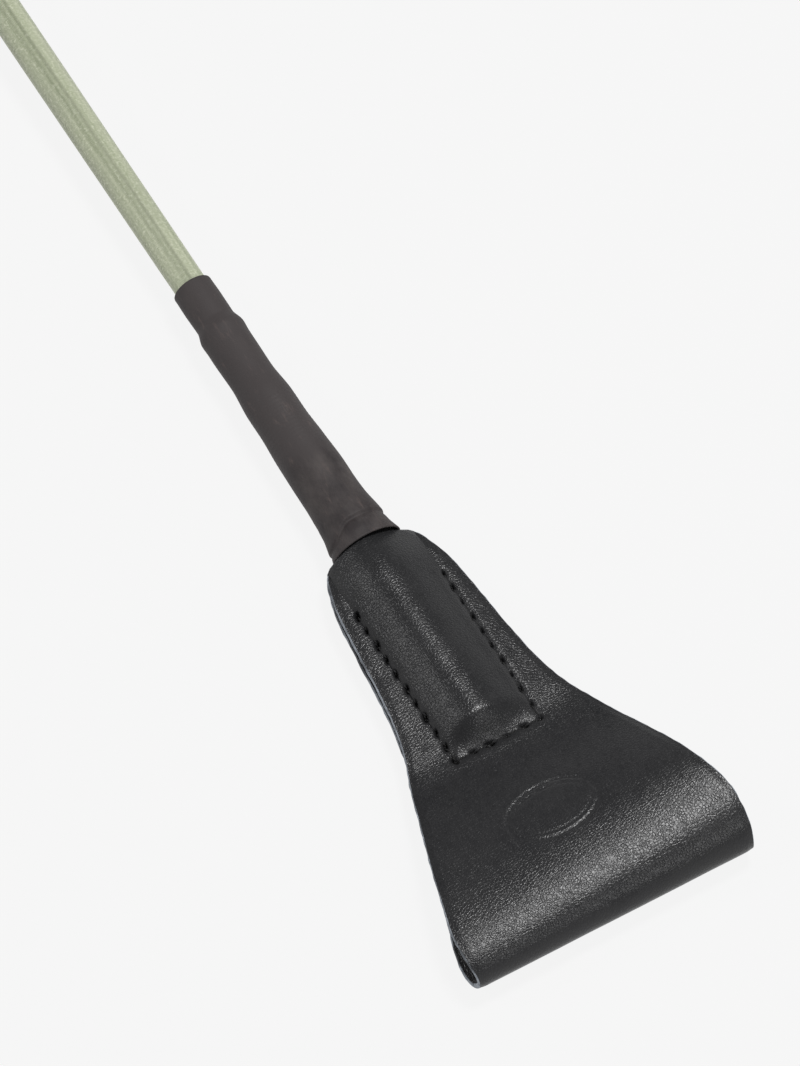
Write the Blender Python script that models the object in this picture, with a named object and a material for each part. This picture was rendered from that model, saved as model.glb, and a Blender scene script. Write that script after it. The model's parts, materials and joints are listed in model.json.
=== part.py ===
"""A riding crop lying on a flat surface, its leather keeper towards +X, striking face up.

Run with: blender --background --python part.py

The design is worked out in millimetres along the crop's own axis. "at" is the distance from
the flat end of the butt cap towards the keeper, "k" is the distance from the end of the neck
sleeve, and heights are measured from the axis. The crop_axis empty then leans the whole crop
so that the butt cap's rim and the keeper's underside both rest at height 0.
"""

import math

import bmesh
import bpy
from mathutils import Matrix, Vector

# ---- Driving dimensions, in millimetres -------------------------------------------------

CROP_LENGTH = 650.0  # flat end of the butt cap to the fold of the keeper
GAP = 0.25  # left between pieces that touch

# Shaft: a tapered glass fibre rod in a braided cover
ROD_BUTT_AT, ROD_BUTT_RADIUS = 50.0, 3.2
ROD_TIP_AT, ROD_TIP_RADIUS = 600.0, 2.1
BRAID_WALL = 0.65
BRAID_START_AT, BRAID_END_AT = 62.0, 596.0
TIP_CAP_WALL = 0.55

# Keeper: one leather strip folded at the tip and sewn round the shaft
KEEPER_LENGTH = 92.0  # end of the sleeve to the fold
KEEPER_AT = CROP_LENGTH - KEEPER_LENGTH
LEATHER = 1.8
SKIVED = 0.4  # thinned leather under the sleeve
TONGUE_ANGLE = math.radians(62)  # half the arc that a thinned tongue covers
FRONT_TONGUE, BACK_TONGUE = 52.4, 41.0  # length of each tongue under the sleeve
OPEN_START = -16.0  # the leaves leave the shaft here, and lie flat at the sleeve's end
POCKET_HALF_WIDTH = 9.0  # from the shaft to a row of stitches
STITCH_START, STITCH_END = 12.6, 48.2
SIDE_HOLES, END_GAPS = 11, 5
HOLE_RADIUS, THREAD_RADIUS = 1.0, 0.32
BULGE_FADE = (43.6, 47.2)  # the bulge over the shaft's end dies away between these
POCKET_CONTACT = -1.0  # height of the plane where the two leaves meet round the pocket
FLAP_CONTACT = 2.5  # and in the flap, before the fold opens them
CONTACT_RISE = (45.0, 68.0)  # between the two
FLEX_AT = 52.0  # the leather bends here, past the stitching
FLEX_CLEARANCE = 0.2  # half the slit at the flex line
FLEX_LIMIT = math.radians(45)
FLAT_FACE = (57.0, 71.0)  # straight part of the flap's front leaf
FOLD_OPENS_AT = 62.0
FOLD_RADIUS = 3.4  # middle of the leather in the fold
FOLD_HEIGHT = 1.9  # centre of the fold
FOLD_AT = KEEPER_LENGTH - FOLD_RADIUS - LEATHER / 2

# The keeper's half width at distances k
KEEPER_OUTLINE = (
    (-60.0, 2.8),
    (-14.0, 3.6),
    (0.4, 5.4),
    (1.6, 7.4),
    (5.0, 9.1),
    (10.0, 11.6),
    (19.0, 13.0),
    (28.0, 13.9),
    (35.0, 14.9),
    (41.5, 16.4),
    (51.0, 19.9),
    (60.0, 23.2),
    (72.0, 27.3),
    (83.0, 30.0),
    (88.0, 29.8),
    (KEEPER_LENGTH, 28.5),
)

# Heat-shrunk sleeve over the keeper's neck: (k, half width, half height)
SLEEVE_WALL = 0.45
SLEEVE_PROFILE = (
    (-63.5, 3.9, 3.9),
    (-55.3, 3.9, 3.9),
    (-52.3, 4.57, 4.57),
    (-50.0, 4.45, 4.45),
    (-42.0, 4.45, 4.45),
    (-35.0, 4.9, 4.9),
    (-27.7, 5.06, 5.06),
    (-19.6, 5.35, 5.3),
    (-11.4, 5.6, 5.35),
    (-5.3, 5.95, 5.4),
    (-3.2, 6.2, 5.4),
    (-1.2, 6.65, 5.45),
    (0.4, 7.15, 5.5),
)
WHIPPING_START, WHIPPING_TURNS, WHIPPING_CORD = -34.0, 12, 0.9

# Handle
CAP_RADIUS = 14.0
CAP_FACE_RADIUS = 9.5
CAP_RIM_AT = 10.0  # end of the cap's widest part
CAP_LENGTH = 24.0
CAP_NECK_RADIUS = 10.6
SOCKET_DEPTH = 9.0
FORMER_RADIUS = 7.2
FORMER_END_AT = 208.0
GRIP_START_AT, GRIP_END_AT = CAP_LENGTH + GAP, 212.0
GRIP_PROFILE = (  # (at, radius)
    (GRIP_START_AT, 10.5),
    (34.0, 10.9),
    (70.0, 10.2),
    (120.0, 9.5),
    (170.0, 9.4),
    (206.0, 9.9),
    (GRIP_END_AT, 9.6),
)
NOSE_LENGTH = 18.0

# Wrist loop, held on a cross pin in the cap's slot
PIN_AT, PIN_RADIUS, PIN_HALF_LENGTH = 4.0, 1.25, 12.8
SLOT_HALF_HEIGHT, SLOT_HALF_WIDTH, SLOT_DEPTH = 4.6, 3.6, 10.6
SLOT_FLARE = math.radians(42)  # the slot's mouth lets the loop swing by nearly this much
STRAP_WIDTH, STRAP = 8.0, 1.5  # width and thickness
PLY = STRAP + 0.25  # from one layer to the next
LOOP_REACH = 170.0  # how far the loop reaches behind the butt cap
STEM_END = -55.0  # the layers part here
LOOP_HALF_WIDTH = 32.0
LOOP_DROP = 12.0  # the far end of the loop hangs this far below the axis
RIVET_AT, RIVET_RADIUS, RIVET_HEAD = -13.0, 1.1, 2.4
SLIDER_AT, SLIDER_LENGTH, SLIDER_WALL = -23.0, 7.0, 1.2
SCREW_RADIUS, SCREW_HEAD_RADIUS, SCREW_HEAD = 1.5, 2.8, 1.5
WASHER_RADIUS, WASHER = 3.3, 0.6

SIDES = 24  # facets round a small turned piece
GRIP_SIDES = 32
MM = 0.001


# ---- Curves and sections ----------------------------------------------------------------


def smooth(t):
    """0 before t = 0, 1 after t = 1, and an even curve between."""
    t = min(max(t, 0.0), 1.0)
    return t * t * (3 - 2 * t)


def ramp(x, start, end):
    return smooth((x - start) / (end - start))


def through(points, x):
    """The height at x of a smooth curve that doesn't overshoot its points (x, y)."""
    x = min(max(x, points[0][0]), points[-1][0])
    slopes = [(b[1] - a[1]) / (b[0] - a[0]) for a, b in zip(points, points[1:])]
    bends = [slopes[0]]
    for before, after in zip(slopes, slopes[1:]):
        level = before * after <= 0
        bends.append(0.0 if level else 2 * before * after / (before + after))
    bends.append(slopes[-1])
    i = max(n for n, point in enumerate(points[:-1]) if point[0] <= x)
    a, b = points[i], points[i + 1]
    span = b[0] - a[0]
    t = (x - a[0]) / span
    return (
        a[1] * (1 + 2 * t) * (1 - t) ** 2
        + b[1] * t * t * (3 - 2 * t)
        + span * bends[i] * t * (1 - t) ** 2
        - span * bends[i + 1] * t * t * (1 - t)
    )


def between(start, end, steps):
    return [start + (end - start) * i / steps for i in range(steps + 1)]


def arc(centre_at, centre_radius, radius, start, end, steps):
    """Points of a circular arc, angles in degrees from +X towards the outside."""
    angles = [math.radians(a) for a in between(start, end, steps)]
    return [
        (centre_at + radius * math.cos(a), centre_radius + radius * math.sin(a))
        for a in angles
    ]


def rod_radius(at):
    along = (at - ROD_BUTT_AT) / (ROD_TIP_AT - ROD_BUTT_AT)
    return ROD_BUTT_RADIUS + (ROD_TIP_RADIUS - ROD_BUTT_RADIUS) * along


def shaft_radius(at):
    """Outside of the braided cover."""
    return rod_radius(at) + GAP + BRAID_WALL


def half_width(k):
    return through(KEEPER_OUTLINE, k)


def contact(k):
    """Height of the plane where the keeper's two leaves meet."""
    return POCKET_CONTACT + (FLAP_CONTACT - POCKET_CONTACT) * ramp(k, *CONTACT_RISE)


def place(at, y, z):
    """A point of the design in Blender's metres, in the crop_axis empty's frame."""
    return Vector((at, y, z)) * MM


# ---- Mesh helpers -----------------------------------------------------------------------


def add_object(name, shape, material):
    """Wraps a finished bmesh as an object, smooth-shaded with sharp corners kept."""
    bmesh.ops.remove_doubles(shape, verts=shape.verts, dist=1e-7)
    bmesh.ops.recalc_face_normals(shape, faces=shape.faces)
    mesh = bpy.data.meshes.new(name)
    shape.to_mesh(mesh)
    shape.free()
    mesh.shade_smooth()
    mesh.set_sharp_from_angle(angle=math.radians(35))
    obj = bpy.data.objects.new(name, mesh)
    bpy.context.scene.collection.objects.link(obj)
    if material:
        mesh.materials.append(material)
    return obj


def skin(name, rings, material, tube=False):
    """A solid over rings of points (at, y, z): capped at both ends, or joined end to end."""
    shape = bmesh.new()
    loops = [[shape.verts.new(place(*p)) for p in ring] for ring in rings]
    count = len(loops[0])
    pairs = list(zip(loops, loops[1:]))
    if tube:
        pairs.append((loops[-1], loops[0]))
    for low, high in pairs:
        for i in range(count):
            j = (i + 1) % count
            shape.faces.new((low[i], low[j], high[j], high[i]))
    if not tube:
        shape.faces.new(loops[0])
        shape.faces.new(loops[-1])
    return add_object(name, shape, material)


def turned(name, profile, material, sides=SIDES, closed=False, about=None):
    """A piece turned from a profile of (distance, radius) along the crop's axis.

    With about, the piece is turned on a line along Y through that point (at, y, z).
    """
    shape = bmesh.new()
    if about:
        centre, axis = place(*about), (0, 1, 0)
        points = [centre + place(radius, along, 0.0) for along, radius in profile]
    else:
        centre, axis = place(0, 0, 0), (1, 0, 0)
        points = [place(along, 0.0, radius) for along, radius in profile]
    verts = [shape.verts.new(point) for point in points]
    pairs = list(zip(verts, verts[1:]))
    if closed:
        pairs.append((verts[-1], verts[0]))
    edges = [shape.edges.new(pair) for pair in pairs]
    bmesh.ops.spin(
        shape,
        geom=verts + edges,
        axis=axis,
        cent=centre,
        steps=sides,
        angle=2 * math.pi,
        use_merge=True,
    )
    return add_object(name, shape, material)


def tube(name, outside, wall, material, sides=SIDES):
    """A turned tube of even wall, from the profile of its outside."""
    inside = [(at, radius - wall) for at, radius in reversed(outside)]
    return turned(name, outside + inside, material, sides, closed=True)


def rod(name, centre, direction, radius, half_length, material=None, sides=12):
    """A plain cylinder about a point (at, y, z), along any direction."""
    shape = bmesh.new()
    bmesh.ops.create_cone(
        shape,
        cap_ends=True,
        segments=sides,
        radius1=radius * MM,
        radius2=radius * MM,
        depth=2 * half_length * MM,
    )
    turn = Vector(direction).to_track_quat("Z", "Y").to_matrix()
    bmesh.ops.rotate(shape, matrix=turn, verts=shape.verts)
    bmesh.ops.translate(shape, vec=place(*centre), verts=shape.verts)
    return add_object(name, shape, material)


def cut(obj, *cutters):
    """Takes the cutters out of obj, and keeps them as hidden helpers."""
    for cutter in cutters:
        cutter.hide_render = True
        cutter.display_type = "WIRE"
        modifier = obj.modifiers.new("cut_" + cutter.name, "BOOLEAN")
        modifier.operation = "DIFFERENCE"
        modifier.object = cutter
    return obj


def material(name, colour, roughness, metallic=0.0):
    made = bpy.data.materials.new(name)
    made.use_nodes = True
    shader = made.node_tree.nodes["Principled BSDF"]
    shader.inputs["Base Color"].default_value = (*colour, 1.0)
    shader.inputs["Roughness"].default_value = roughness
    shader.inputs["Metallic"].default_value = metallic
    made.diffuse_color = (*colour, 1.0)
    return made


# ---- Shaft ------------------------------------------------------------------------------


def build_rod(glass_fibre):
    ends = [(at, rod_radius(at)) for at in (ROD_BUTT_AT, ROD_TIP_AT)]
    profile = [(ROD_BUTT_AT, 0.0), *ends, (ROD_TIP_AT, 0.0)]
    turned("core_rod", profile, glass_fibre, sides=16)


def build_braid(yarn):
    stations = between(BRAID_START_AT, BRAID_END_AT, 4)
    outside = [(at, shaft_radius(at)) for at in stations]
    tube("braided_cover", outside, BRAID_WALL, yarn)


def build_tip_cap(plastic):
    """The thimble over the rod's tip, which the end of the braid butts against."""
    mouth, end = BRAID_END_AT + GAP, ROD_TIP_AT + GAP
    bore = ROD_TIP_RADIUS + 0.2
    outer = bore + TIP_CAP_WALL
    profile = [
        (end, 0.0),
        (end, bore),
        (mouth, bore),
        (mouth, outer),
        (end + 0.2, outer),
        (end + 1.2, outer * 0.6),
        (end + 1.5, 0.0),
    ]
    turned("rod_tip_cap", profile, plastic, sides=16)


# ---- Keeper -----------------------------------------------------------------------------


def bulge(k, y):
    """How far the shaft pushes the leaves apart, from 1 over its middle to 0."""
    across = 0.5 * (1 + math.cos(math.pi * min(abs(y) / POCKET_HALF_WIDTH, 1)))
    return across * (1 - ramp(k, *BULGE_FADE))


def leaf_face(k, y, side, thickness):
    """Height of a leaf's face, this far out from the inside. side 1 is the front leaf."""
    shaft = shaft_radius(min(KEEPER_AT + k, BRAID_END_AT)) + GAP
    lift = shaft - side * contact(k)
    return contact(k) + side * (GAP / 2 + lift * bulge(k, y) + thickness)


def pocket_section(k, side):
    """The ring of one leaf at k: wrapped on the shaft in the neck, and flat after it."""
    opened = ramp(k, OPEN_START, 0)
    thick = SKIVED + (LEATHER - SKIVED) * ramp(k, -5, 9)
    shaft = shaft_radius(min(KEEPER_AT + k, BRAID_END_AT)) + GAP
    inner, outer = [], []
    for u in between(-1.0, 1.0, 12):
        flat_y = u * half_width(k)
        for line, out in ((inner, 0.0), (outer, thick)):
            wrapped_y = (shaft + out) * math.sin(u * TONGUE_ANGLE)
            wrapped_z = side * (shaft + out) * math.cos(u * TONGUE_ANGLE)
            flat_z = leaf_face(k, flat_y, side, out)
            y = wrapped_y + (flat_y - wrapped_y) * opened
            z = wrapped_z + (flat_z - wrapped_z) * opened
            line.append((KEEPER_AT + k, y, z))
    return outer + inner[::-1]


def flex_face(z, side):
    """Where a cut edge at the flex line stands: it leans away, so that the flap can turn."""
    lean = math.tan(FLEX_LIMIT / 2) * abs(z - contact(FLEX_AT))
    return KEEPER_AT + FLEX_AT + side * (FLEX_CLEARANCE + lean)


def stitch_holes():
    """Where the thread passes through, as (k, y), round the three sides of the pocket."""
    side = between(STITCH_START, STITCH_END, SIDE_HOLES - 1)
    end = between(-POCKET_HALF_WIDTH, POCKET_HALF_WIDTH, END_GAPS)[1:-1]
    down = [(k, -POCKET_HALF_WIDTH) for k in side]
    across = [(STITCH_END, y) for y in end]
    back = [(k, POCKET_HALF_WIDTH) for k in reversed(side)]
    return down + across + back


def hole_cutter():
    """All the needle holes as one cutter of separate pegs."""
    shape = bmesh.new()
    for k, y in stitch_holes():
        made = bmesh.ops.create_cone(
            shape,
            cap_ends=True,
            segments=8,
            radius1=HOLE_RADIUS * MM,
            radius2=HOLE_RADIUS * MM,
            depth=3 * LEATHER * MM,
        )
        spot = place(KEEPER_AT + k, y, contact(k))
        bmesh.ops.translate(shape, vec=spot, verts=made["verts"])
    return add_object("needle_holes", shape, None)


def build_pocket(name, side, tongue, leather, needle_holes):
    stations = [-tongue, OPEN_START, -12, -8, -5, -2.5, 0, 1, 2, 4, 6, 9, 13, 19, 26, 33]
    stations += [39, 42, BULGE_FADE[0], 45, 46.2, BULGE_FADE[1], 50]
    rings = [pocket_section(k, side) for k in stations]
    last = pocket_section(FLEX_AT, side)
    rings.append([(flex_face(z, -1), y, z) for _, y, z in last])
    return cut(skin(name, rings, leather), needle_holes)


def build_thread(name, side, thread):
    """One thread of the lockstitch: over each stitch, and down to mid-leather in each hole."""
    holes = stitch_holes()
    over = GAP / 2 + LEATHER + THREAD_RADIUS + 0.2
    under = THREAD_RADIUS + 0.12
    entry = HOLE_RADIUS - THREAD_RADIUS - 0.23
    steps = ((entry, over - 0.35), (HOLE_RADIUS, over))
    route = []
    for here, there in zip(holes, holes[1:]):
        here, there = Vector(here), Vector(there)
        way = (there - here).normalized()
        route.append((*here, under))
        route += [(*(here + way * along), height) for along, height in steps]
        route += [(*(there - way * along), height) for along, height in steps[::-1]]
    route.append((*holes[-1], under))
    curve = bpy.data.curves.new(name, "CURVE")
    curve.dimensions = "3D"
    curve.bevel_depth = THREAD_RADIUS * MM
    curve.bevel_resolution = 0
    curve.use_fill_caps = True
    spline = curve.splines.new("POLY")
    spline.points.add(len(route) - 1)
    for point, (k, y, height) in zip(spline.points, route):
        point.co = (*place(KEEPER_AT + k, y, contact(k) + side * height), 1.0)
    curve.materials.append(thread)
    obj = bpy.data.objects.new(name, curve)
    bpy.context.scene.collection.objects.link(obj)
    return obj


def flap_leaf(k, side):
    """Middle height of a leaf in the flap: on its partner, then spreading into the fold."""
    start, end = FLAT_FACE
    if side > 0 and start < k < end:
        low, high = flap_leaf(start, side), flap_leaf(end, side)
        return low + (high - low) * (k - start) / (end - start)
    together = contact(k) + side * (GAP + LEATHER) / 2
    in_fold = FOLD_HEIGHT + side * FOLD_RADIUS
    return together + (in_fold - together) * ramp(k, FOLD_OPENS_AT, FOLD_AT)


def flap_centreline():
    """Middle of the leather in the flap, as (k, height): front leaf, fold, back leaf."""
    start, end = FLAT_FACE
    front = between(FLEX_AT, start, 2) + between(end, FOLD_AT, 5)
    back = between(FLEX_AT, FOLD_AT, 11)
    line = [(k, flap_leaf(k, 1)) for k in front]
    line += arc(FOLD_AT, FOLD_HEIGHT, FOLD_RADIUS, 90, -90, 10)[1:-1]
    line += [(k, flap_leaf(k, -1)) for k in reversed(back)]
    return line


def build_flap(leather):
    line = [Vector(p) for p in flap_centreline()]
    rings = []
    for i, here in enumerate(line):
        way = (line[min(i + 1, len(line) - 1)] - line[max(i - 1, 0)]).normalized()
        out = Vector((-way.y, way.x)) * LEATHER / 2
        width = half_width(here.x)
        ring = []
        for face, turn in ((here + out, 1), (here - out, -1)):
            at = KEEPER_AT + face.x
            if i in (0, len(line) - 1):
                at = flex_face(face.y, 1)
            ring += [(at, -turn * width, face.y), (at, turn * width, face.y)]
        rings.append(ring)
    return skin("keeper_flap", rings, leather)


def oval(at, half_w, half_h):
    angles = [2 * math.pi * i / SIDES for i in range(SIDES)]
    return [(at, half_w * math.cos(a), half_h * math.sin(a)) for a in angles]


def build_sleeve(shrink):
    """The heat-shrunk sleeve: an open tube, skinned outside and inside."""
    rings = [oval(KEEPER_AT + k, w, h) for k, w, h in SLEEVE_PROFILE]
    for k, w, h in reversed(SLEEVE_PROFILE):
        rings.append(oval(KEEPER_AT + k, w - SLEEVE_WALL, h - SLEEVE_WALL))
    return skin("neck_sleeve", rings, shrink, tube=True)


def build_whipping(cord):
    """Waxed cord wound round the tongues, as touching turns."""
    start = KEEPER_AT + WHIPPING_START
    end = start + WHIPPING_TURNS * WHIPPING_CORD
    inner = shaft_radius(start) + GAP + SKIVED + 0.1
    outside = []
    for i in range(WHIPPING_TURNS):
        outside.append((start + i * WHIPPING_CORD, inner + 0.12))
        outside.append((start + (i + 0.5) * WHIPPING_CORD, inner + 0.4))
    outside.append((end, inner + 0.12))
    profile = outside + [(end, inner), (start, inner)]
    turned("neck_whipping", profile, cord, sides=16, closed=True)


# ---- Handle -----------------------------------------------------------------------------


def slot_cutter():
    """The cap's slot: straight beside the pin, and opening out to let the loop swing."""
    half = SLOT_HALF_WIDTH
    flare_at = PIN_AT + 1.0
    reach = 4.0
    spread = half + (flare_at + reach) * math.tan(SLOT_FLARE)
    outline = [
        (SLOT_DEPTH, -half),
        (SLOT_DEPTH, half),
        (flare_at, half),
        (-reach, spread),
        (-reach, -spread),
        (flare_at, -half),
    ]
    height = SLOT_HALF_HEIGHT
    rings = [[(at, y, z) for at, y in outline] for z in (-height, height)]
    return skin("loop_slot", rings, None)


def build_cap(plastic):
    shoulder = CAP_RADIUS - CAP_FACE_RADIUS
    socket_at = CAP_LENGTH - SOCKET_DEPTH
    socket = FORMER_RADIUS + GAP
    profile = [(0.0, 0.0)]
    profile += arc(shoulder, CAP_FACE_RADIUS, shoulder, 180, 90, 5)
    profile += [(CAP_RIM_AT, CAP_RADIUS)]
    profile += arc(18.5, 14.2, 3.6, 215, 268, 3)
    profile += [(CAP_LENGTH, CAP_NECK_RADIUS), (CAP_LENGTH, socket)]
    profile += [(socket_at, socket), (socket_at, 0.0)]
    cap = turned("butt_cap", profile, plastic, sides=GRIP_SIDES)
    up, along = (0, 0, 1), (1, 0, 0)
    pin_hole = rod("pin_hole", (PIN_AT, 0, 0), up, PIN_RADIUS + 0.2, CAP_RADIUS + 2)
    screw_hole = rod("screw_hole", (13.0, 0, 0), along, SCREW_RADIUS + GAP, 4.0)
    return cut(cap, slot_cutter(), pin_hole, screw_hole)


def build_pin(steel):
    """The cross pin that holds the wrist loop in the cap."""
    rod("loop_pin", (PIN_AT, 0, 0), (0, 0, 1), PIN_RADIUS, PIN_HALF_LENGTH, steel)


def build_screw(steel):
    """The wood screw that holds the cap on the handle's former."""
    seat = SLOT_DEPTH - WASHER - 2 * GAP
    top = seat - SCREW_HEAD
    profile = [
        (top, 0.0),
        (top, SCREW_HEAD_RADIUS * 0.7),
        (top + 0.6, SCREW_HEAD_RADIUS),
        (seat, SCREW_HEAD_RADIUS),
        (seat, SCREW_RADIUS),
        (seat + 20.0, SCREW_RADIUS),
        (seat + 24.0, 0.3),
        (seat + 24.0, 0.0),
    ]
    turned("cap_screw", profile, steel, sides=16)


def build_washer(steel):
    """The washer between the screw's head and the floor of the cap's slot."""
    face = SLOT_DEPTH - GAP
    hole = SCREW_RADIUS + GAP
    outside = [(face - WASHER, WASHER_RADIUS), (face, WASHER_RADIUS)]
    tube("screw_washer", outside, WASHER_RADIUS - hole, steel, sides=16)


def build_former(wood):
    """The wooden former under the grip: bored for the shaft, and solid behind it."""
    clear = 0.15
    back = CAP_LENGTH - SOCKET_DEPTH + GAP
    pilot, pilot_end = SCREW_RADIUS + 0.2, SLOT_DEPTH + 25.0
    bore_end = ROD_BUTT_AT - GAP
    step = BRAID_START_AT - 2.0
    profile = [
        (pilot_end, 0.0),
        (pilot_end, pilot),
        (back, pilot),
        (back, FORMER_RADIUS),
        (FORMER_END_AT - 20, FORMER_RADIUS),
        (FORMER_END_AT, FORMER_RADIUS - 0.8),
        (FORMER_END_AT, shaft_radius(FORMER_END_AT) + clear),
        (step, shaft_radius(step) + clear),
        (step, rod_radius(step) + clear),
        (bore_end, rod_radius(bore_end) + clear),
        (bore_end, 0.0),
    ]
    turned("handle_former", profile, wood)


def build_grip(rubber):
    """The moulded grip, a long waisted sleeve."""
    inner = FORMER_RADIUS + GAP
    stations = between(GRIP_START_AT, GRIP_END_AT, 12)
    outside = [(at, through(GRIP_PROFILE, at)) for at in stations]
    profile = outside + [(GRIP_END_AT, inner), (GRIP_START_AT, inner)]
    turned("rubber_grip", profile, rubber, sides=GRIP_SIDES, closed=True)


def build_nose(rubber):
    """The tapered collar that finishes the grip on the shaft."""
    start = GRIP_END_AT + GAP
    end = start + NOSE_LENGTH
    wide = through(GRIP_PROFILE, GRIP_END_AT)
    narrow = shaft_radius(end) + 1.0
    outside = []
    for t in between(0.0, 1.0, 6):
        radius = narrow + (wide - narrow) * (1 - t) ** 1.6
        outside.append((start + NOSE_LENGTH * t, radius))
    inside = [(end, shaft_radius(end) + 0.15), (start, shaft_radius(start) + 0.15)]
    turned("grip_nose", outside + inside, rubber, closed=True)


# ---- Wrist loop -------------------------------------------------------------------------


def loop_side():
    """One side of the loop, as (at, y), from the stem nearly to the far end."""
    length = LOOP_REACH + STEM_END - STRAP / 2
    side = []
    for t in between(0.0, math.pi, 22)[1:-1]:
        away = (1 - math.cos(t)) / 2
        spread = math.sin(t) * away / 0.65  # at most 1
        y = PLY / 2 + (LOOP_HALF_WIDTH - STRAP / 2 - PLY / 2) * spread
        side.append((STEM_END - length * away, y))
    return side


def strap_route():
    """The strap's middle line as (at, y): tail, round the pin, out, round the loop, back."""
    wrap = PIN_RADIUS + 0.3 + STRAP / 2
    side = loop_side()
    stem = [(at, PLY / 2) for at in between(RIVET_AT - 9.0, STEM_END, 3)]
    outer = [(0.5, 2.25), (-4.0, PLY), (RIVET_AT, PLY), (RIVET_AT - 5.0, PLY)]
    route = [(RIVET_AT - 4.0, 0.0), (RIVET_AT + 3.0, 0.0), (-5.0, -0.5), (-1.0, -1.7)]
    route += arc(PIN_AT, 0.0, wrap, -80, 80, 8)
    route += outer + stem + side
    route.append((STRAP / 2 - LOOP_REACH, 0.0))
    route += [(at, -y) for at, y in reversed(stem + side)]
    route += [(RIVET_AT - 5.0, -PLY), (RIVET_AT, -PLY), (RIVET_AT + 3.0, -PLY)]
    return route


def strap_height(at):
    """Height of the strap's middle: level along the stem, then drooping to the surface."""
    return -LOOP_DROP * ramp(-at, -STEM_END, LOOP_REACH)


def build_strap(leather):
    line = [Vector(p) for p in strap_route()]
    rings = []
    for i, here in enumerate(line):
        way = (line[min(i + 1, len(line) - 1)] - line[max(i - 1, 0)]).normalized()
        across = Vector((-way.y, way.x)) * STRAP / 2
        left, right = here + across, here - across
        z = strap_height(here.x)
        low, high = z - STRAP_WIDTH / 2, z + STRAP_WIDTH / 2
        rings.append([(*left, low), (*right, low), (*right, high), (*left, high)])
    strap = skin("wrist_strap", rings, leather)
    spot, across_strap = (RIVET_AT, 0, 0), (0, 1, 0)
    hole = rod("rivet_hole", spot, across_strap, RIVET_RADIUS + 0.2, 3 * PLY)
    cut(strap, hole)
    return strap, hole


def build_rivet(steel):
    """The rivet through the three layers of the strap."""
    reach = PLY + STRAP / 2 + 0.2
    head = 0.7
    half = [
        (reach, RIVET_RADIUS),
        (reach, RIVET_HEAD),
        (reach + head * 0.7, RIVET_HEAD * 0.8),
        (reach + head, 0.0),
    ]
    profile = [(-y, radius) for y, radius in reversed(half)] + half
    return turned("strap_rivet", profile, steel, sides=16, about=(RIVET_AT, 0, 0))


def build_slider(leather):
    """The band that slides along the stem to close the loop round the wrist."""
    clear_y = PLY / 2 + STRAP / 2 + 0.3
    clear_z = STRAP_WIDTH / 2 + 0.35

    def band(at, grow):
        y, z, corner = clear_y + grow, clear_z + grow, 0.2 + grow * 0.6
        side = [(y - corner, -z), (y, -z + corner), (y, z - corner), (y - corner, z)]
        return [(at, a, b) for a, b in side + [(-a, -b) for a, b in side]]

    front, back = SLIDER_AT, SLIDER_AT - SLIDER_LENGTH
    corners = ((front, SLIDER_WALL), (back, SLIDER_WALL), (back, 0.0), (front, 0.0))
    rings = [band(at, grow) for at, grow in corners]
    return skin("strap_slider", rings, leather, tube=True)


# ---- Assembly ---------------------------------------------------------------------------


def add_pivot(name, at, z, parent):
    """An empty, placed in its parent's frame. The joints' axes run through these."""
    pivot = bpy.data.objects.new(name, None)
    pivot.empty_display_size = 0.01
    bpy.context.scene.collection.objects.link(pivot)
    pivot.parent = parent
    pivot.location = place(at, 0.0, z)
    return pivot


def hang(pieces, pivot, spot):
    """Parents finished pieces to a pivot that stands at this spot of the design."""
    for piece in pieces:
        piece.parent = pivot
        piece.matrix_parent_inverse = Matrix.Translation(-spot)


def rest_lean():
    """The lean that brings the cap's rim and the pocket's underside to one level."""
    pocket_at = KEEPER_AT + BULGE_FADE[0]
    pocket_depth = -leaf_face(BULGE_FADE[0], 0.0, -1, LEATHER)
    return math.atan((CAP_RADIUS - pocket_depth) / (pocket_at - CAP_RIM_AT))


def stand_on_surface(crop_axis):
    """Leans the crop, and centres it over the world's origin."""
    lean = rest_lean()
    across, along = math.sin(lean), math.cos(lean)
    front = CROP_LENGTH * along + FOLD_HEIGHT * across
    back = -LOOP_REACH * along - (LOOP_DROP + STRAP_WIDTH / 2) * across
    height = CAP_RADIUS * along + CAP_RIM_AT * across
    crop_axis.location = place(-(front + back) / 2, 0.0, height)
    crop_axis.rotation_euler.y = lean


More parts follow.
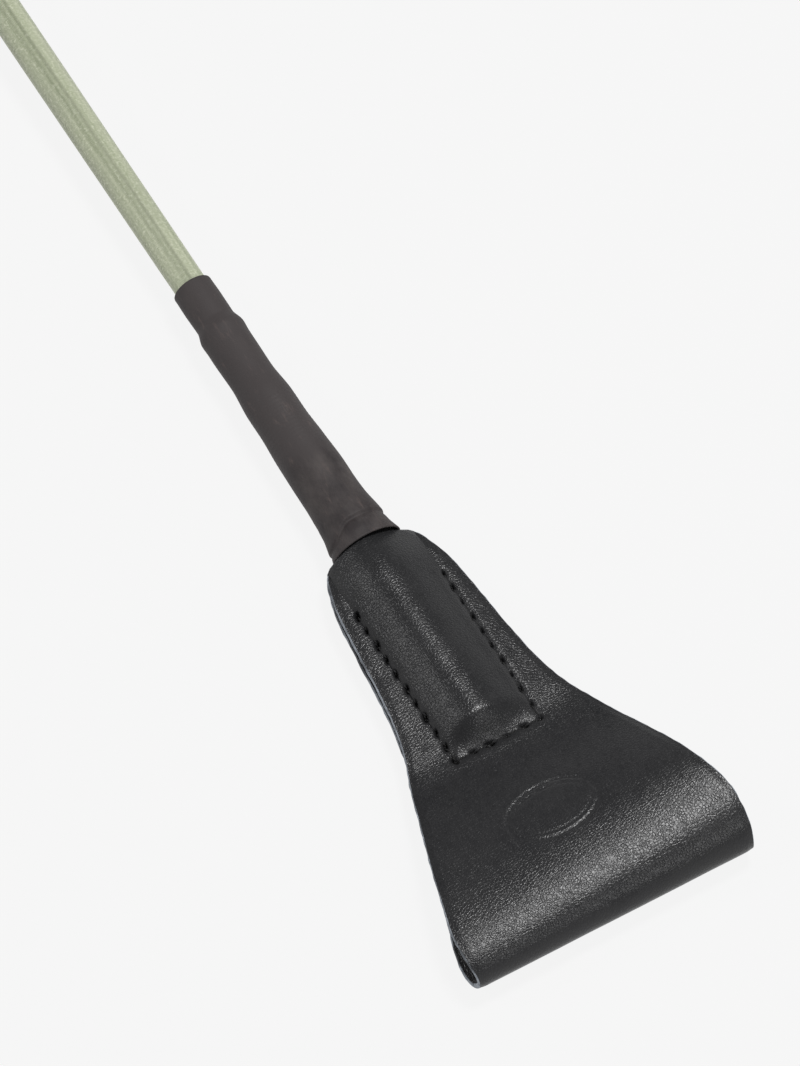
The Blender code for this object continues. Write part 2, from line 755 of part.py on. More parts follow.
def main():
    for obj in list(bpy.data.objects):
        bpy.data.objects.remove(obj)
    sage = material("sage_braid", (0.36, 0.39, 0.26), 0.45)
    fibre = material("glass_fibre", (0.62, 0.60, 0.50), 0.35)
    shrink = material("shrink_sleeve", (0.045, 0.040, 0.040), 0.62)
    leather = material("black_leather", (0.030, 0.031, 0.034), 0.38)
    thread = material("black_thread", (0.008, 0.008, 0.009), 0.55)
    waxed = material("waxed_cord", (0.05, 0.05, 0.05), 0.5)
    rubber = material("grip_rubber", (0.028, 0.028, 0.030), 0.7)
    plastic = material("black_plastic", (0.022, 0.022, 0.024), 0.4)
    wood = material("beech", (0.55, 0.38, 0.22), 0.6)
    steel = material("nickel_steel", (0.62, 0.61, 0.58), 0.3, 1.0)

    build_rod(fibre)
    build_braid(sage)
    build_tip_cap(plastic)
    needle_holes = hole_cutter()
    build_pocket("keeper_pocket_front", 1, FRONT_TONGUE, leather, needle_holes)
    build_pocket("keeper_pocket_back", -1, BACK_TONGUE, leather, needle_holes)
    build_thread("stitch_thread_front", 1, thread)
    build_thread("stitch_thread_back", -1, thread)
    build_sleeve(shrink)
    build_whipping(waxed)
    build_cap(plastic)
    build_pin(steel)
    build_screw(steel)
    build_washer(steel)
    build_former(wood)
    build_grip(rubber)
    build_nose(rubber)
    fixed = list(bpy.data.objects)
    flap = build_flap(leather)
    strap, rivet_hole = build_strap(leather)
    rivet = build_rivet(steel)
    slider = build_slider(leather)

    crop_axis = add_pivot("crop_axis", 0.0, 0.0, None)
    stand_on_surface(crop_axis)
    flex_line = add_pivot("flex_line", KEEPER_AT + FLEX_AT, contact(FLEX_AT), crop_axis)
    pin_line = add_pivot("pin_line", PIN_AT, 0.0, crop_axis)
    stem_line = add_pivot("stem_line", SLIDER_AT - PIN_AT, 0.0, pin_line)
    hang(fixed, crop_axis, place(0, 0, 0))
    hang([flap], flex_line, flex_line.location)
    hang([strap, rivet_hole, rivet], pin_line, pin_line.location)
    hang([slider], stem_line, pin_line.location + stem_line.location)


main()
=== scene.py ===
"""The looks of a riding crop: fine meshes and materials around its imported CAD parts.

Shapes are worked out in millimetres along the crop's own axis, as in its CAD design. "at" is the
distance from the flat end of the butt cap towards the keeper, "k" is the distance from the end of
the neck sleeve, and y and z are measured from the axis. place() turns them into frame metres.
"""

import json
import math

import bpy
import numpy as np
from mathutils import Matrix, Vector


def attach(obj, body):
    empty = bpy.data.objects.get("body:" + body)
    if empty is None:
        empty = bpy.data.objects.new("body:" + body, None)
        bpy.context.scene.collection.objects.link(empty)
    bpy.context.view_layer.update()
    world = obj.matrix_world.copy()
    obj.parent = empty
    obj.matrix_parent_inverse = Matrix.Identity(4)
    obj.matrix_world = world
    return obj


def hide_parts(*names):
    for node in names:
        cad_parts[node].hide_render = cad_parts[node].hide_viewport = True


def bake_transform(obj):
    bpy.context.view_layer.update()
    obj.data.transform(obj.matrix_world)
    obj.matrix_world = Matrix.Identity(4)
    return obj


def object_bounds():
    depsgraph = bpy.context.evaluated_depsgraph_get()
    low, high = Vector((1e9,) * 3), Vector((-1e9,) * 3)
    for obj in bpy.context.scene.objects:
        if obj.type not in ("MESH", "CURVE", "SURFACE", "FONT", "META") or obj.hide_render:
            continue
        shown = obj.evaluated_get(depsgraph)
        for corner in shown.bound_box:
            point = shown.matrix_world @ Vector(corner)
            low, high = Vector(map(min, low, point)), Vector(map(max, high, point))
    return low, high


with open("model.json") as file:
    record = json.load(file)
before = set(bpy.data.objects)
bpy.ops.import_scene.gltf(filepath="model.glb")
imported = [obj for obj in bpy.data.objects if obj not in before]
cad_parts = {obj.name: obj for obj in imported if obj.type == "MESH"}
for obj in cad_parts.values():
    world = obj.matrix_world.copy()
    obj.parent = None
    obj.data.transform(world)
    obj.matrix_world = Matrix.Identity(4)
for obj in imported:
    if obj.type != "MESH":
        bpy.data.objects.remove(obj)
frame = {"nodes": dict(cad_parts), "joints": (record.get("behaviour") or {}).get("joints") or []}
cad_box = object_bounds()

MM = 0.001
GAP = 0.25  # left between pieces that touch

# ---- The crop's own axes in the frame ---------------------------------------------------

PIN_AT = 4.0
JOINTS = {joint["name"]: joint for joint in frame["joints"]}
ALONG = -np.array(JOINTS["slider_travel"]["axis"])
UP = np.array(JOINTS["loop_swing"]["axis"])
AXES = np.array([ALONG, np.cross(UP, ALONG), UP])
BUTT = np.array(JOINTS["loop_swing"]["pos_m"]) - ALONG * PIN_AT * MM


def place(points):
    """Design points (at, y, z) in millimetres, as frame points in metres."""
    return BUTT + np.asarray(points, float) * MM @ AXES


def turn(direction):
    """A design direction in the frame."""
    return np.asarray(direction, float) @ AXES


# ---- Curves -----------------------------------------------------------------------------


def smooth(t):
    """0 before t = 0, 1 after t = 1, and an even curve between."""
    t = np.clip(t, 0.0, 1.0)
    return t * t * (3 - 2 * t)


def ramp(x, start, end):
    return smooth((x - start) / (end - start))


def hump(x, middle, width):
    """1 at the middle, falling away evenly on both sides."""
    return np.exp(-(((x - middle) / width) ** 2))


def through(points, x):
    """The height at x of a smooth curve that doesn't overshoot its points (x, y)."""
    px, py = np.array(points, float).T
    slope = np.diff(py) / np.diff(px)
    before, after = slope[:-1], slope[1:]
    bends = before * after > 0
    middle = np.where(bends, 2 * before * after / np.where(bends, before + after, 1), 0)
    tangent = np.concatenate([slope[:1], middle, slope[-1:]])
    x = np.clip(x, px[0], px[-1])
    i = np.clip(np.searchsorted(px, x, side="right") - 1, 0, len(px) - 2)
    span = px[i + 1] - px[i]
    t = (x - px[i]) / span
    rise = py[i] * (1 + 2 * t) * (1 - t) ** 2 + py[i + 1] * t * t * (3 - 2 * t)
    lean = tangent[i] * t * (1 - t) ** 2 - tangent[i + 1] * t * t * (1 - t)
    return rise + span * lean


def unevenness(x, y, lump, seed):
    """Smooth noise from -1 to 1, with lumps about as wide as lump."""
    size = 64
    lattice = np.random.default_rng(seed).uniform(-1, 1, (size, size))
    gx, gy = x / lump, y / lump
    ix, iy = np.floor(gx).astype(int), np.floor(gy).astype(int)
    tx, ty = smooth(gx - ix), smooth(gy - iy)

    def corner(a, b):
        return lattice[(ix + a) % size, (iy + b) % size]

    low = corner(0, 0) * (1 - tx) + corner(1, 0) * tx
    high = corner(0, 1) * (1 - tx) + corner(1, 1) * tx
    return low * (1 - ty) + high * ty


def arc(centre_at, centre_radius, radius, start, end, steps):
    """Points of a circular arc, angles in degrees from +X towards the outside."""
    angles = np.radians(np.linspace(start, end, steps + 1))
    at = centre_at + radius * np.cos(angles)
    return list(zip(at, centre_radius + radius * np.sin(angles)))


def stretches(stops, counts):
    """Numbers from stop to stop in this many even steps each, without the last stop."""
    runs = zip(stops, stops[1:], counts)
    return np.concatenate([np.linspace(a, b, steps, endpoint=False) for a, b, steps in runs])


def run_length(line):
    """The distance along a line of points, at each point."""
    steps = np.linalg.norm(np.diff(np.asarray(line, float), axis=0), axis=1)
    return np.concatenate([[0], np.cumsum(steps)])


def evenly(line, step):
    """The same line of points, resampled at an even spacing."""
    line = np.asarray(line, float)
    length = run_length(line)
    marks = np.linspace(0, length[-1], int(length[-1] / step) + 1)
    return np.stack([np.interp(marks, length, column) for column in line.T], axis=1)


def round_angles(sides):
    return np.linspace(0, 2 * math.pi, sides, endpoint=False)


def pairs(first, second):
    """Each of the first numbers with each of the second, as [first, second, 2]."""
    return np.stack(np.meshgrid(first, second, indexing="ij"), axis=2)


def unit(directions):
    return directions / np.linalg.norm(directions, axis=-1, keepdims=True)


# ---- Meshes -----------------------------------------------------------------------------


def cells(numbers):
    """The four corners of each cell of a grid, in turn round the cell."""
    corners = [numbers[:-1, :-1], numbers[:-1, 1:], numbers[1:, 1:], numbers[1:, :-1]]
    return np.stack(corners, axis=2).reshape(-1, 4, *numbers.shape[2:])


def grid_mesh(name, points, along=False, uv=None, **marks):
    """A closed mesh over points[row, column] in design millimetres.

    The last column joins the first. along also joins the last row to the first, and without it
    the two end rows are capped. uv has one more column than points, and with along one more row.
    marks are numbers for each point, which materials read by name.
    """
    rows, columns = points.shape[:2]
    numbers = np.arange(rows * columns).reshape(rows, columns)
    numbers = np.hstack([numbers, numbers[:, :1]])
    if along:
        numbers = np.vstack([numbers, numbers[:1]])
    places = place(points.reshape(-1, 3))
    faces = cells(numbers)
    from_middle = places - places.mean(axis=0)
    volume = np.linalg.det(from_middle[faces[:, :3]]).sum()
    volume += np.linalg.det(from_middle[faces[:, [0, 2, 3]]]).sum()
    way = 1 if volume > 0 else -1
    loops = faces[:, ::way].tolist()
    if not along:
        loops += [numbers[0, :columns][::-way].tolist(), numbers[-1, :columns][::way].tolist()]
    mesh = bpy.data.meshes.new(name)
    mesh.from_pydata(places.tolist(), [], loops)
    if uv is not None:
        flat = np.zeros((len(mesh.loops), 2), np.float32)
        corners = cells(uv * MM)[:, ::way].reshape(-1, 2)
        flat[: len(corners)] = corners
        mesh.uv_layers.new(name="flat").data.foreach_set("uv", flat.ravel())
    for mark, values in marks.items():
        attribute = mesh.attributes.new(mark, "FLOAT", "POINT")
        attribute.data.foreach_set("value", values.astype(np.float32).ravel())
    mesh.shade_smooth()
    return mesh


def add_object(name, data):
    made = bpy.data.objects.new(name, data)
    bpy.context.scene.collection.objects.link(made)
    return made


def show(mesh, look, slot, body, *nodes):
    """Adds a finished mesh as a piece that rides on a body, if any, and stands for CAD nodes."""
    piece = add_object(mesh.name, mesh)
    mesh.materials.clear()
    mesh.materials.append(look)
    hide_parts(*nodes)
    if body:
        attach(piece, body)
    return piece


def both_ways(half):
    """A symmetrical profile, from its half with positive distances."""
    return [(-away, radius) for away, radius in reversed(half)] + half


def turned_points(profile, sides, relief=None):
    """Points of a turned piece, from a profile of (at, radius)."""
    at, radius = np.array(profile, float).T
    at, angle = np.meshgrid(at, round_angles(sides), indexing="ij")
    radius = np.repeat(radius[:, None], sides, axis=1)
    if relief is not None:
        radius = radius + relief(at, angle)
    return np.stack([at, radius * np.cos(angle), radius * np.sin(angle)], axis=2)


def turned_uv(profile, sides, girth, joined):
    """Flat coordinates of a turned piece: along its profile, and round it."""
    length = run_length(profile)
    if joined:
        length = np.append(length, length[-1] + 1)
    return pairs(length, np.linspace(0, girth, sides + 1))


def turned(name, profile, sides, girth=20.0, closed=False, relief=None):
    """A mesh turned about the crop's axis. closed joins the profile's ends, as on a tube."""
    points = turned_points(profile, sides, relief)
    uv = turned_uv(profile, sides, girth, closed)
    return grid_mesh(name, points, along=closed, uv=uv)


def finished(piece):
    """The piece's mesh with its modifiers applied. The piece itself is removed."""
    graph = bpy.context.evaluated_depsgraph_get()
    mesh = bpy.data.meshes.new_from_object(piece.evaluated_get(graph))
    mesh.name = piece.name
    bpy.data.objects.remove(piece)
    mesh.shade_smooth()
    return mesh


# ---- Materials --------------------------------------------------------------------------


class Look:
    """A procedural material, built one node at a time. Sizes are in millimetres."""

    def __init__(self, name, **surface):
        self.material = bpy.data.materials.new(name)
        self.material.use_nodes = True
        self.shader = self.material.node_tree.nodes["Principled BSDF"]
        for socket, value in surface.items():
            self.set(socket.replace("_", " "), value)

    def set(self, socket, value):
        """Sets or links a socket of the shader."""
        self.feed(self.shader.inputs[socket], value)

    def feed(self, socket, value):
        if isinstance(value, bpy.types.NodeSocket):
            self.material.node_tree.links.new(value, socket)
        else:
            socket.default_value = value

    def add(self, kind, inputs, output=0, **settings):
        made = self.material.node_tree.nodes.new("ShaderNode" + kind)
        for setting, value in settings.items():
            setattr(made, setting, value)
        for socket, value in inputs.items():
            self.feed(made.inputs[socket], value)
        return made.outputs[output]

    def flat(self):
        """The piece's flat coordinates."""
        return self.add("UVMap", {}, uv_map="flat")

    def solid(self):
        """The piece's coordinates in space."""
        return self.add("TexCoord", {}, "Object")

    def mark(self, name):
        return self.add("Attribute", {}, "Fac", attribute_name=name)

    def stretch(self, where, amounts):
        """Coordinates multiplied by amounts: a pattern is longer where the amount is small."""
        return self.add("VectorMath", {0: where, 1: amounts}, operation="MULTIPLY")

    def noise(self, where, size, detail=2.0, roughness=0.5):
        inputs = {"Vector": where, "Scale": 1 / (size * MM), "Detail": detail}
        return self.add("TexNoise", {**inputs, "Roughness": roughness})

    def pebbles(self, where, size):
        """0 on the lines between irregular cells, and higher inside them."""
        inputs = {"Vector": where, "Scale": 1 / (size * MM)}
        return self.add("TexVoronoi", inputs, feature="DISTANCE_TO_EDGE")

    def maths(self, operation, *values):
        return self.add("Math", dict(enumerate(values)), operation=operation)

    def sum(self, *terms):
        """Each term is (weight, value)."""
        total = 0.0
        for weight, value in terms:
            total = self.maths("MULTIPLY_ADD", value, weight, total)
        return total

    def times(self, a, b):
        return self.maths("MULTIPLY", a, b)

    def spread(self, value, low, high, to_low=0.0, to_high=1.0):
        """The value, moved from the range low to high into the other range."""
        inputs = {"Value": value, "From Min": low, "From Max": high}
        return self.add("MapRange", {**inputs, "To Min": to_low, "To Max": to_high})

    def mix(self, share, first, second):
        """A colour between two."""
        first, second = (
            colour if isinstance(colour, bpy.types.NodeSocket) else (*colour, 1.0)
            for colour in (first, second)
        )
        return self.add("Mix", {0: share, 6: first, 7: second}, 2, data_type="RGBA")

    def between(self, value, low, high, first, second):
        """The first colour up to where the value is low, and the second from where it is high."""
        return self.mix(self.spread(value, low, high), first, second)

    def rough(self, noise, low, high):
        """Roughness from low to high, following a noise."""
        self.set("Roughness", self.spread(noise, 0.3, 0.7, low, high))

    def bump(self, height, depth, below=None):
        """Raises the surface by depth where height is 1."""
        inputs = {"Height": height, "Distance": depth * MM}
        if below is not None:
            inputs["Normal"] = below
        normal = self.add("Bump", inputs)
        self.set("Normal", normal)
        return normal


def keeper_leather_look():
    """Black oiled leather with a fine pebbled grain, pale raw cut edges, and painted shade in the
    needle holes.
    """
    look = Look("keeper_leather_look", Specular_IOR_Level=0.32)
    where = look.flat()
    raw, hole = look.mark("raw"), look.mark("hole")
    cloudy = look.noise(where, 14.0, 3.0, 0.6)
    black = look.between(cloudy, 0.3, 0.7, (0.0108, 0.0109, 0.0120), (0.0172, 0.0172, 0.0181))
    grain = look.pebbles(where, 0.52)
    raised = look.spread(grain, 0.0, 0.22)
    rubbed = look.mix(look.times(raised, 0.35), black, (0.026, 0.026, 0.027))
    fibres = look.noise(look.stretch(look.solid(), (0.35, 1.0, 1.0)), 0.5, 4.0, 0.7)
    pale = look.between(fibres, 0.35, 0.65, (0.10, 0.11, 0.125), (0.34, 0.37, 0.41))
    dyed = look.noise(look.solid(), 7.0, 2.0, 0.6)
    pale = look.mix(look.spread(dyed, 0.5, 0.62, 0.0, 0.75), pale, (0.03, 0.032, 0.035))
    whole = look.between(raw, 0.35, 0.9, rubbed, pale)
    # Painted shade: the needle-hole dents are darkened towards black
    look.set("Base Color", look.between(hole, 0.3, 0.8, whole, (0.002, 0.002, 0.002)))
    patchy = look.noise(where, 3.5, 3.0, 0.6)
    rough = look.spread(patchy, 0.3, 0.7, 0.28, 0.33)
    look.set("Roughness", look.maths("ADD", rough, look.times(raw, 0.4)))
    brushed = look.noise(look.stretch(where, (0.3, 1.0, 1.0)), 0.45, 2.0, 0.6)
    fine = look.noise(where, 0.45, 3.0, 0.65)
    height = look.sum((0.50, raised), (0.75, fine), (0.20, brushed))
    look.bump(height, 0.046)
    return look.material


def braid_look():
    """Pale sage braid with a fine herringbone weave, a silky gloss, and painted shade lines along its
    top.
    """
    look = Look("sage_braid_look", Specular_IOR_Level=0.45, Sheen_Weight=0.12, Sheen_Roughness=0.4)
    where = look.flat()
    parts = look.add("SeparateXYZ", {0: where}, "X")
    across = parts.node.outputs["Y"]
    pitch, strands = 0.8 * MM, 40
    wander = look.times(look.noise(where, 1.1, 3.0, 0.6), 9.0)
    along_turns = look.sum((2 * math.pi / pitch, parts), (1.0, wander))
    across_turns = look.times(across, 2 * math.pi * strands / (BRAID_GIRTH * MM))
    right = look.maths("SINE", look.maths("ADD", along_turns, across_turns))
    left = look.maths("SINE", look.maths("SUBTRACT", along_turns, across_turns))
    crossing = look.spread(look.times(right, left), -1.0, 1.0)
    streaks = look.noise(look.stretch(where, (0.02, 1.0, 1.0)), 0.9, 3.0, 0.6)
    blotches = look.noise(look.stretch(where, (0.25, 1.0, 1.0)), 7.0, 2.0, 0.5)
    sage = look.between(streaks, 0.3, 0.7, (0.282, 0.315, 0.203), (0.432, 0.458, 0.330))
    sage = look.mix(look.spread(blotches, 0.35, 0.7, 0.0, 0.45), sage, (0.285, 0.300, 0.225))
    rub = look.noise(where, 0.6, 4.0, 0.8)
    sage = look.mix(look.spread(rub, 0.50, 0.66, 0.0, 0.7), sage, (0.62, 0.64, 0.50))
    woven = look.mix(look.spread(crossing, 0.0, 0.5, 0.5, 0.0), sage, (0.15, 0.17, 0.10))
    # Painted shade: dark lengthwise lines near the top of the cover, standing in for a dark reflection
    # there
    for seam, depth in BRAID_SHADE_LINES:
        off = look.maths("SUBTRACT", across, seam * MM)
        off = look.sum((1.0, off), (0.5 * MM, look.spread(blotches, 0.0, 1.0, -1.0, 1.0)))
        dark = look.spread(look.maths("ABSOLUTE", off), 0.1 * MM, 0.65 * MM, depth, 0.0)
        woven = look.mix(dark, woven, (0.085, 0.100, 0.055))
    look.set("Base Color", woven)
    look.rough(streaks, 0.42, 0.55)
    look.bump(look.sum((0.6, crossing), (1.0, rub)), 0.07)
    return look.material


def sleeve_look():
    """Heat-shrunk sleeve: matte, warm black, faintly mottled and scuffed."""
    look = Look("shrink_sleeve_look", Specular_IOR_Level=0.30)
    where = look.solid()
    mottle = look.noise(look.stretch(where, (0.6, 1.0, 1.0)), 7.0, 5.0, 0.65)
    tint = look.noise(where, 22.0, 2.0, 0.5)
    warm = look.between(mottle, 0.38, 0.62, (0.0200, 0.0160, 0.0168), (0.0530, 0.0455, 0.0440))
    cool = look.between(tint, 0.4, 0.62, warm, (0.0410, 0.0350, 0.0350))
    scuffs = look.noise(look.stretch(where, (0.25, 1.0, 1.0)), 1.3, 4.0, 0.75)
    worn = look.mix(look.spread(scuffs, 0.58, 0.72, 0.0, 0.42), cool, (0.095, 0.072, 0.066))
    look.set("Base Color", worn)
    look.rough(mottle, 0.60, 0.72)
    fine = look.noise(where, 0.3, 2.0, 0.6)
    look.bump(look.sum((0.5, fine), (1.2, look.noise(where, 2.4, 3.0, 0.55))), 0.05)
    return look.material


def thread_look():
    """Black twisted sewing thread."""
    look = Look("black_thread_look", Specular_IOR_Level=0.25, Sheen_Weight=0.05)
    fuzz = look.noise(look.solid(), 0.15, 3.0, 0.7)
    look.set("Base Color", look.mix(fuzz, (0.006, 0.006, 0.006), (0.018, 0.018, 0.019)))
    look.rough(fuzz, 0.55, 0.75)
    look.bump(fuzz, 0.03)
    return look.material


def rubber_look(name, dark, light, dullness):
    """Moulded rubber or plastic with a fine spark-eroded texture and dusty high spots."""
    look = Look(name, Specular_IOR_Level=0.4)
    where = look.solid()
    dust = look.noise(where, 6.0, 4.0, 0.65)
    proud = look.spread(look.add("NewGeometry", {}, "Pointiness"), 0.50, 0.56)
    plain = look.between(dust, 0.3, 0.75, dark, light)
    worn = tuple(2.0 * value for value in light)
    look.set("Base Color", look.mix(look.times(proud, 0.6), plain, worn))
    look.rough(dust, dullness - 0.05, dullness + 0.08)
    look.bump(look.noise(where, 0.35, 3.0, 0.6), 0.03)
    return look.material


def strap_leather_look():
    """Black bridle leather: smoother than the keeper, with burnished edges."""
    look = Look("strap_leather_look", Specular_IOR_Level=0.45)
    where = look.flat()
    edge = look.mark("edge")
    cloudy = look.noise(where, 9.0, 3.0, 0.6)
    black = look.between(cloudy, 0.3, 0.7, (0.010, 0.010, 0.011), (0.020, 0.0195, 0.019))
    look.set("Base Color", look.mix(look.times(edge, 0.7), black, (0.030, 0.026, 0.024)))
    look.rough(look.noise(where, 2.5, 3.0), 0.36, 0.52)
    grain = look.spread(look.pebbles(where, 0.6), 0.0, 0.2)
    look.bump(look.sum((0.5, grain), (0.5, look.noise(where, 0.2, 2.0))), 0.035)
    return look.material


def steel_look():
    """Nickel-plated steel with fine turning lines and dull spots."""
    look = Look("nickel_steel_look", Metallic=1.0)
    where = look.solid()
    spots = look.noise(where, 1.2, 4.0, 0.6)
    lines = look.noise(look.stretch(where, (6.0, 0.6, 0.6)), 0.8, 3.0, 0.6)
    look.set("Base Color", look.between(spots, 0.4, 0.75, (0.64, 0.62, 0.58), (0.42, 0.40, 0.37)))
    look.rough(spots, 0.20, 0.38)
    look.bump(lines, 0.008)
    return look.material


def beech_look():
    """Plain turned beech with its flecks along the grain."""
    look = Look("beech_look", Specular_IOR_Level=0.3)
    where = look.solid()
    grain = look.noise(look.stretch(where, (0.06, 1.0, 1.0)), 1.5, 5.0, 0.6)
    flecks = look.noise(look.stretch(where, (0.25, 1.0, 1.0)), 0.5, 2.0, 0.5)
    wood = look.between(grain, 0.3, 0.7, (0.47, 0.30, 0.16), (0.62, 0.43, 0.26))
    flecked = look.mix(look.spread(flecks, 0.62, 0.72, 0.0, 0.6), wood, (0.33, 0.19, 0.10))
    look.set("Base Color", flecked)
    look.rough(grain, 0.5, 0.65)
    look.bump(grain, 0.03)
    return look.material


def fibre_look():
    """Pultruded glass fibre: straw coloured, with the fibres along the rod."""
    look = Look("glass_fibre_look", Specular_IOR_Level=0.5)
    strands = look.noise(look.stretch(look.solid(), (0.02, 1.0, 1.0)), 0.4, 4.0, 0.7)
    straw = look.between(strands, 0.3, 0.7, (0.50, 0.48, 0.36), (0.72, 0.70, 0.58))
    look.set("Base Color", straw)
    look.rough(strands, 0.3, 0.45)
    look.bump(strands, 0.015)
    return look.material


def cord_look():
    """Waxed black whipping cord."""
    look = Look("waxed_cord_look", Specular_IOR_Level=0.4)
    strands = look.noise(look.stretch(look.solid(), (1.0, 0.3, 0.3)), 0.3, 3.0, 0.6)
    look.set("Base Color", look.mix(strands, (0.010, 0.010, 0.010), (0.035, 0.033, 0.030)))
    look.rough(strands, 0.38, 0.55)
    look.bump(strands, 0.03)
    return look.material


# ---- Shaft ------------------------------------------------------------------------------

ROD_BUTT_AT, ROD_BUTT_RADIUS = 50.0, 3.2
ROD_TIP_AT, ROD_TIP_RADIUS = 600.0, 2.1
BRAID_WALL = 0.65
BRAID_START_AT, BRAID_END_AT = 62.0, 596.0
BRAID_ROWS, BRAID_SIDES = 700, 72
BRAID_WAVE, BRAID_FACETS, FACET_DEPTH = 9.0, 9, 0.012
BRAID_GIRTH = 20.0
BRAID_SHADE_LINES = ((5.0, 0.46), (6.1, 0.32))  # painted shade: dark lines that stand in for a dark reflection along the top of the cover: (how far round the cover, how dark)


def shaft_radius(at):
    """Outside of the braided cover."""
    share = (at - ROD_BUTT_AT) / (ROD_TIP_AT - ROD_BUTT_AT)
    return ROD_BUTT_RADIUS + (ROD_TIP_RADIUS - ROD_BUTT_RADIUS) * share + GAP + BRAID_WALL


def build_braid(look):
    def relief(at, angle):
        """Slow waves of the cover, and its flat lengthwise facets. Only the outside moves."""
        on_outside = np.arange(len(at))[:, None] < BRAID_ROWS
        waves = unevenness(at, 3 * np.cos(angle), BRAID_WAVE, 5)
        waves = waves + unevenness(at, 3 * np.sin(angle), BRAID_WAVE, 6)
        return on_outside * (0.02 * waves + FACET_DEPTH * np.cos(BRAID_FACETS * angle))

    at = np.linspace(BRAID_START_AT, BRAID_END_AT, BRAID_ROWS)
    outside = list(zip(at, shaft_radius(at)))
    inside = [(x, shaft_radius(x) - BRAID_WALL) for x in np.linspace(BRAID_END_AT, BRAID_START_AT, 30)]
    profile = outside + inside
    mesh = turned("braid", profile, BRAID_SIDES, girth=BRAID_GIRTH, closed=True, relief=relief)
    show(mesh, look, "sage_braid", "crop", "braided_cover")


# ---- Keeper -----------------------------------------------------------------------------

KEEPER_LENGTH = 92.0
KEEPER_AT = 558.0
LEATHER = 1.8
SKIVED = 0.4  # thinned leather under the sleeve
TONGUE_ANGLE = math.radians(62)
FRONT_TONGUE, BACK_TONGUE = 52.4, 41.0
OPEN_START = -16.0  # the leaves leave the shaft here
POCKET_HALF_WIDTH = 9.0
STITCH_START, STITCH_END = 12.6, 48.2
SIDE_HOLES, END_GAPS = 11, 5
THICKENS = (-5.0, 9.0)  # from the skived tongues to the full leather
BULGE_FADE = (42.0, 48.4)
RIDGE_SHIFT = 1.0  # the bulge is highest this far towards -Y
TENT_ROUNDING = 0.6  # share of the pocket's half width over which the bulge's top is round
POCKET_CONTACT, FLAP_CONTACT = -1.0, 2.5
CONTACT_RISE = (45.0, 68.0)
DROOP, DROOP_INSET, DROOP_FADE = 0.13, 1.0, (34.0, 51.0)  # slope of the +Y margin past its seam
FLEX_AT = 52.0

# The fold: a generous curve on the striking side that tightens round the tip
FOLD_SHORT = 0.7  # the fold ends this much short of the keeper's full length
FOLD_TIP = KEEPER_LENGTH - FOLD_SHORT - LEATHER / 2
FOLD_TIP_HEIGHT = 1.0
TIP_RADIUS, UNDER_RADIUS = 3.6, 2.2
UNDER_TURN = (1.2, 2.0)  # the radius goes from one to the other between these, in radians turned
EASY_RADIUS = ((-29.0, 25.0), (0.0, 32.0), (29.0, 38.0))  # (y, radius where the curve begins)
EASE = ((-29.0, 10.0), (0.0, 15.0), (29.0, 19.0))  # (y, degrees over which that curve tightens)
CREST_TURN, CREST_ROWS, ROUND_ROWS = 0.5, 21, 33  # rows lie closer in the first half radian
FOLD_STEPS = 1440  # for adding up the curve
BACK_OPENS_AT = 60.0  # the back leaf turns away from the front one here
FACE_ROWS, BACK_ROWS = 92, 40  # of the flap

# The keeper's half width at distances k
KEEPER_OUTLINE = (
    (-60.0, 2.8),
    (-14.0, 3.3),
    (-2.0, 4.6),
    (0.5, 5.4),
    (1.3, 8.3),
    (3.0, 9.7),
    (5.0, 10.4),
    (10.0, 11.9),
    (19.0, 13.0),
    (28.0, 13.9),
    (35.0, 14.9),
    (41.5, 16.4),
    (51.0, 20.1),
    (60.0, 23.5),
    (72.0, 27.4),
    (83.0, 29.8),
    (88.0, 29.6),
    (KEEPER_LENGTH, 28.5),
)

# The back leaf is narrower by an inset, and the -Y side of both leaves is cut closer
BACK_INSET, BACK_INSET_STARTS, BACK_INSET_ENDS = 0.7, (38.0, 46.0), (78.0, 88.0)
CLOSER_CUT, CLOSER_ENDS = 0.8, (76.0, 88.0)
CLOSER_STARTS = ((0.3, 4.0, 14.0), (0.7, 46.0, 60.0))  # (share of the cut, from k, to k)
GRAIN_THINNING, FLESH_THINNING = 0.18, 0.6  # of half the thickness, at the cut edges
THINNING_REACH = 1.5
EDGE_CROWDING = 1.2  # columns lie closer together towards the edges
FACE_COLUMNS, FLESH_COLUMNS = 150, 26
# A raw edge, from the grain side to the flesh side: (share of half the thickness, reach in mm)
EDGE = (
    (0.93, 0.10),
    (0.78, 0.19),
    (0.40, 0.25),
    (0.0, 0.27),
    (-0.40, 0.25),
    (-0.80, 0.18),
    (-0.95, 0.08),
)
FRAYING, FRAY_LUMP = 0.35, 1.3  # share of the reach, and size of the lumps
EDGE_FLAT_STEP, FLESH_FLAT_START = 0.3, 80.0  # in the flat coordinates

# Relief of the grain side
HOLE_DEPTH = 0.95
DENT_LENGTH, DENT_WIDTH, DENT_REACH = 0.80, 0.46, 3.0
FAR_DENTS = 0.86  # size of the dents in the +Y row
SEAM_DEPTH, SEAM_WIDTH, SEAM_REACH = 0.12, 0.6, 3.0
MARK_AT, MARK_HALF_LENGTH, MARK_HALF_WIDTH = 68.0, 6.0, 9.0  # plain oval pressed in the face
MARK_DEPTH = 0.24
MARK_LINES = ((1.0, 0.0, 0.26), (0.6, 1.1, 0.20))  # (strength, inset, width)


def across_at(k, u, side=1):
    """The y of a share u of the half width of a leaf.

    The back leaf is cut a little inside the front one past the pocket, and both are cut a
    little closer on their -Y side.
    """
    inside = BACK_INSET * ramp(k, *BACK_INSET_STARTS) * (1 - ramp(k, *BACK_INSET_ENDS)) * (side < 0)
    closer = sum(share * ramp(k, start, end) for share, start, end in CLOSER_STARTS)
    closer = CLOSER_CUT * closer * (1 - ramp(k, *CLOSER_ENDS))
    return u * (through(KEEPER_OUTLINE, k) - inside) + closer * (1 - u) / 2


